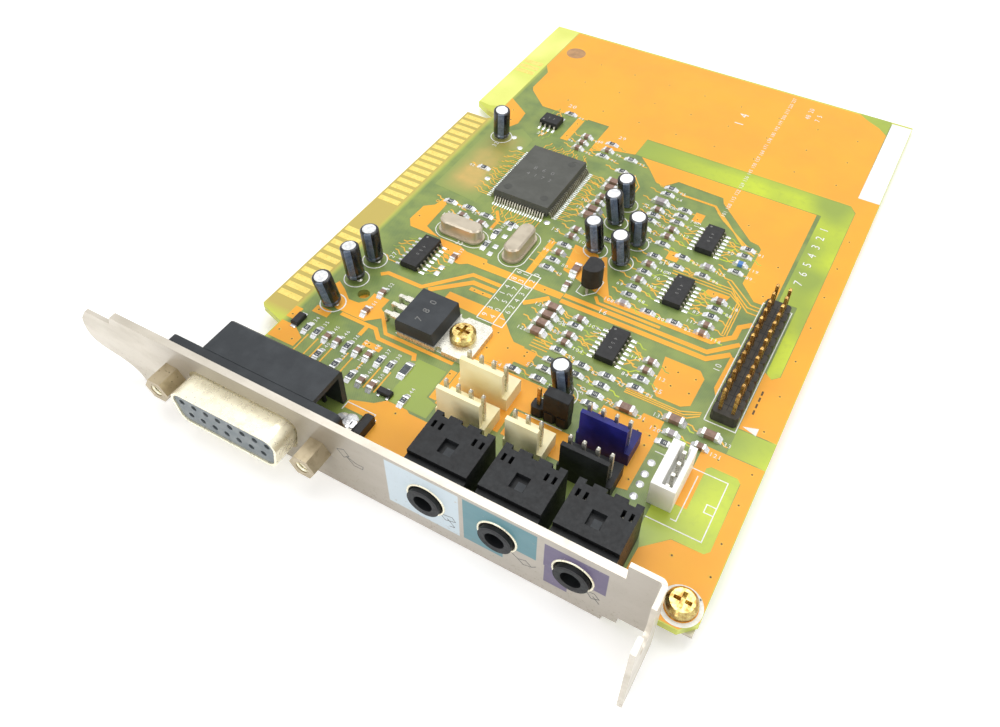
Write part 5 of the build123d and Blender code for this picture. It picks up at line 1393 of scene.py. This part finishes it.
@dataclass
class BracketDetails(Assembly):
    """Rims round the jacks' openings, their collars, and thin outline signs on the bracket's face.

    Attributes:
        nose: How far a jack's collar stands out of the face in mm.
        line: Width of the signs' lines in mm.
    """

    nose: float = 0.9
    line: float = 0.13

    def build(self) -> None:
        """Builds the rims, the collars and the signs."""
        rims, collars, signs = bmesh.new(), bmesh.new(), bmesh.new()
        face, front = BRACKET_FACE, BRACKET_FACE - self.nose
        for x in JACKS:
            lathe(rims, x, JACK_AXIS, ((3.36, face + 0.1), (3.37, face - 0.1), (3.5, face - 0.17),
                                       (3.66, face - 0.12), (3.74, face + 0.01), (3.36, face + 0.1)), 0)
            lathe(collars, x, JACK_AXIS, (
                (3.05, face + 0.4), (3.09, front + 0.35), (2.95, front + 0.06), (2.7, front - 0.04),
                (2.35, front + 0.02), (2.2, front + 0.28), (1.98, front + 0.34), (1.8, front + 0.55),
                (1.8, 1.7)), 0)
            lathe(collars, x, JACK_AXIS, ((1.79, 0.2), (1.55, 0.25), (1.5, 2.6), (0.02, 2.7)), 1)
        self.piece("socket_rims", rims, "dull_nickel", "nickel", True)
        self.piece("jack_collars", collars, "black_plastic socket_dark", "black_plastic", True)
        upright = Matrix.Translation((0, face, 0)) @ Matrix.Rotation(QUARTER, 4, "X")
        for path in SIGNS:
            bmesh.ops.transform(signs, matrix=upright, verts=track(signs, path, self.line, 0.0, 0.02))
        self.piece("bracket_signs", signs, "drawn_line", "nickel")


@dataclass
class PortDetails(Assembly):
    """Solder on the game port's ground strap, threads in its jackscrews, and a dark disc of painted shade
    deep in each jackscrew's hole.

    Attributes:
        screws: Middle of each jackscrew in mm.
        height: Height of their axis in mm.
    """

    screws: Point = (0.04, 33.36)
    height: float = 2.4

    def build(self) -> None:
        """Builds the solder, the threads and the discs of painted shade."""
        bm = bmesh.new()
        for x, size in ((31.6, 1.5), (33.2, 1.9), (34.6, 1.2)):
            made = disc(bm, (x, 6.4, 0.0), size, 0.75, 18, 0, 0.55)
            bmesh.ops.scale(bm, verts=made, vec=(1, 1.3, 1), space=Matrix.Translation((-x, -6.4, 0)))
        self.piece("strap_solder", bm, "solder", "tin", True)
        bm = bmesh.new()
        for x in self.screws:
            for step in range(5):
                depth = -6.0 + step * 0.6
                lathe(bm, x, self.height, ((1.29, depth), (1.12, depth + 0.3), (1.29, depth + 0.6)), 0, 24)
            # dark disc 3 mm into each hole: painted shade
            lathe(bm, x, self.height, ((1.3, -3.0), (0.02, -2.9)), 1, 24)
        self.piece("jackscrew_threads_and_shade", bm, "dull_nickel socket_dark", "nickel", True)


@dataclass
class JackDetails(Assembly):
    """Metal seen through the slots of the jacks, and the floor of their windows."""

    def build(self) -> None:
        """Adds contact blades under the slots and a floor under each window."""
        bm = bmesh.new()
        for x in JACKS:
            for side in (-3.95, 3.95):
                for slot in (-0.686, 0.686):
                    block(bm, (x + side + slot, 8.9, 7.7), (0.3, 0.5, 0.4), 0, 0.05)
            block(bm, (x, 5.65, 8.05), (2.9, 3.2, 0.3), 1, 0.03)
            block(bm, (x + 0.2, 5.5, 8.22), (1.5, 1.7, 0.06), 2, 0.02)
        self.piece("jack_contacts", bm, "dull_leads black_plastic hood_plastic", "tin")


@dataclass
class HeaderDetails(Assembly):
    """Painted shade of the grooves between the places of the two-row header, and the closed top of the
    jumper's cap.

    Attributes:
        x: Middle of the header in mm.
        y: First row in mm.
        rows: Number of rows.
    """

    x: float = 92.07
    y: float = 41.5
    rows: int = 13

    def build(self) -> None:
        """Lays thin dark bars of painted shade where the grooves lie on the header's top, then the cap's top.
        """
        bm = bmesh.new()
        # the dark bars stand in for the shade in the grooves: painted shade
        for row in range(self.rows - 1):
            block(bm, (self.x, self.y + (row + 0.5) * PITCH, 2.545), (4.3, 0.16, 0.02), 0, 0.008)
        long = (self.rows - 1) * PITCH
        block(bm, (self.x, self.y + long / 2, 2.5435), (0.14, long, 0.015), 0, 0.006)
        self.piece("header_groove_shade", bm, "black_plastic", "black_plastic")
        bm = bmesh.new()
        block(bm, (65.71, 25.95, 7.24), (4.98, 2.24, 0.22), 0, 0.1)
        self.piece("jumper_lid", bm, "black_plastic", "black_plastic")


@dataclass
class SmallSolder(Assembly):
    """Solder at the ends of the choke, the small diode and the small transistor."""

    def build(self) -> None:
        """Adds a low pad of solder at each end."""
        bm = bmesh.new()
        for x, y, wide, deep in ((36.5, 4.2, 1.8, 0.7), (36.5, 9.2, 1.8, 0.7), (9.5, 20.4, 1.2, 0.7),
                                 (9.5, 24.0, 1.2, 0.7), (34.2, 14.5, 0.6, 0.6), (36.2, 14.5, 0.6, 0.6),
                                 (35.2, 16.3, 0.6, 0.6)):
            block(bm, (x, y, 0.12), (wide, deep, 0.24), 0, 0.08)
        self.piece("small_part_solder", bm, "solder", "tin", True)


@dataclass
class Dresser(Assembly):
    """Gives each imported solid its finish."""

    def dress(self, nodes: dict[str, bpy.types.Object]) -> None:
        """Sets the finish in the material slots of each node's object.

        Args:
            nodes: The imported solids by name.
        """
        table = {start: finish for finish, starts in DRESSED.items() for start in starts.split()}
        for name, node in nodes.items():
            finish = self.palette[table[max((key for key in table if name.startswith(key)), key=len)]]
            if not node.material_slots:
                node.data.materials.append(finish)
            for place in node.material_slots:
                place.link = "OBJECT"
                place.material = finish
            LOG.info("%s dressed as %s", name, finish.name)


# ---- studio


@dataclass
class Studio:
    """Pale floor, soft lamps and the camera at the photograph's place.

    Attributes:
        tilt: Slope of the floor under the resting card, rise over run along Y.
        floor_height: Height of the floor under the board's front edge in mm.
        camera_place: Camera position in mm.
        camera_turn: Rows of the camera's rotation.
        lens: Focal length in mm.
        shift: Lens shift.
        glow: Strength of the background for the camera and for light on the card.
        middle: Where the lamps point, in metres.
    """

    tilt: float = 0.0257
    floor_height: float = -5.66 + 0.0257 * 1.2
    camera_place: tuple[float, float, float] = (104.745, -63.418, 129.615)
    camera_turn: tuple[tuple[float, float, float], ...] = (
        (0.8727135, -0.36240075, 0.32716486), (0.48795664, 0.62489296, -0.60943179),
        (0.01641552, 0.69150162, 0.72218837))
    lens: float = 31.8147
    shift: Point = (-0.0163, -0.0510)
    glow: Point = (1.0, 0.42)
    middle: tuple[float, float, float] = (0.05, 0.06, 0.0)

    def build(self) -> None:
        """Builds the floor, the lamps, the background and the camera."""
        self.floor()
        self.lamp("lamp_above", (0.0, 0.25, 0.75), 0.6, 3.4)
        self.lamp("lamp_front", (-0.1, -0.6, 0.35), 0.4, 2.4)
        self.lamp("lamp_right", (0.65, 0.0, 0.45), 0.4, 1.0)
        self.background()
        self.camera()
        bpy.context.scene.view_settings.view_transform = "Standard"
        bpy.context.scene.view_settings.look = "None"

    def floor(self) -> None:
        """Lays a wide pale floor under the card's two resting edges."""
        nodes = Nodes("studio_floor")
        share = nodes.ramp(nodes.noise(2.0, 2), 0.3, 0.7)
        near = nodes.field(-200, 290, -230, 350, "Y", (90, 90))
        nodes.feed(nodes.shader, {
            "Base Color": nodes.blend(share, linear(252, 252, 252), linear(250, 250, 250)),
            "Roughness": 0.9, "Specular IOR Level": 0.1, "Emission Color": WHITE,
            "Emission Strength": nodes.ramp(near, 0, 1, 0.8, 0.22)})
        bm = bmesh.new()
        bmesh.ops.create_grid(bm, x_segments=1, y_segments=1, size=4000)
        slope = Matrix.Rotation(math.atan(self.tilt), 3, "X")
        bmesh.ops.rotate(bm, verts=bm.verts, cent=(0, 0, 0), matrix=slope)
        bmesh.ops.translate(bm, verts=bm.verts, vec=(0, 0, self.floor_height))
        bmesh.ops.scale(bm, verts=bm.verts, vec=(MM, MM, MM))
        mesh = bpy.data.meshes.new("floor")
        bm.to_mesh(mesh)
        bm.free()
        mesh.materials.append(nodes.material)
        floor = bpy.data.objects.new("floor", mesh)
        bpy.context.collection.objects.link(floor)

    def lamp(self, name: str, place: Sequence[float], size: float, power: float) -> None:
        """Adds one soft square lamp that points at the card's middle.

        Args:
            name: Its name.
            place: Its position in metres.
            size: Its side in metres.
            power: Its power in watts.
        """
        data = bpy.data.lights.new(name, "AREA")
        data.shape = "SQUARE"
        data.size = size
        data.energy = power
        lamp = bpy.data.objects.new(name, data)
        bpy.context.collection.objects.link(lamp)
        lamp.location = place
        lamp.rotation_euler = (Vector(self.middle) - Vector(place)).to_track_quat("-Z", "Y").to_euler()

    def background(self) -> None:
        """Makes a white background that lights the card only softly."""
        world = bpy.data.worlds.new("studio")
        world.use_nodes = True
        world.node_tree.nodes.clear()
        tree = Tree(world.node_tree)
        path = tree.add("ShaderNodeLightPath").outputs
        direct = tree.combine(path["Is Camera Ray"], path["Is Glossy Ray"], "MAXIMUM")
        direct = tree.combine(direct, path["Is Transmission Ray"], "MAXIMUM")
        seen, lit = (tree.add("ShaderNodeBackground", {"Color": WHITE, "Strength": strength}).outputs[0]
                     for strength in self.glow)
        mix = tree.add("ShaderNodeMixShader", {0: direct, 1: lit, 2: seen})
        tree.add("ShaderNodeOutputWorld", {"Surface": mix.outputs[0]})
        bpy.context.scene.world = world

    def camera(self) -> None:
        """Sets the camera that was solved from the photograph."""
        data = bpy.data.cameras.new("photo_camera")
        data.lens = self.lens
        data.sensor_width = 36.0
        data.sensor_fit = "HORIZONTAL"
        data.shift_x, data.shift_y = self.shift
        data.clip_start = 0.005
        data.clip_end = 20.0
        data.dof.use_dof = False
        camera = bpy.data.objects.new("photo_camera", data)
        bpy.context.collection.objects.link(camera)
        camera.matrix_world = (Matrix.Translation(Vector(self.camera_place) * MM)
                               @ Matrix(self.camera_turn).to_4x4())
        bpy.context.scene.camera = camera


def main() -> None:
    """Dresses the card, adds its pieces and sets the studio."""
    logging.basicConfig(level=logging.INFO, format="%(message)s")
    palette = {finish.name: finish.make() for finish in FINISHES}
    Dresser(palette).dress(frame["nodes"])
    for assembly in (BoardArt(palette), ChipParts(palette),
                     *(Can(palette, number, *place) for number, place in enumerate(CANS, 1)),
                     ChipDetails(palette), Solder(palette), BracketDetails(palette), PortDetails(palette),
                     JackDetails(palette), HeaderDetails(palette), SmallSolder(palette), Studio()):
        assembly.build()


if __name__ == "__main__":
    main()
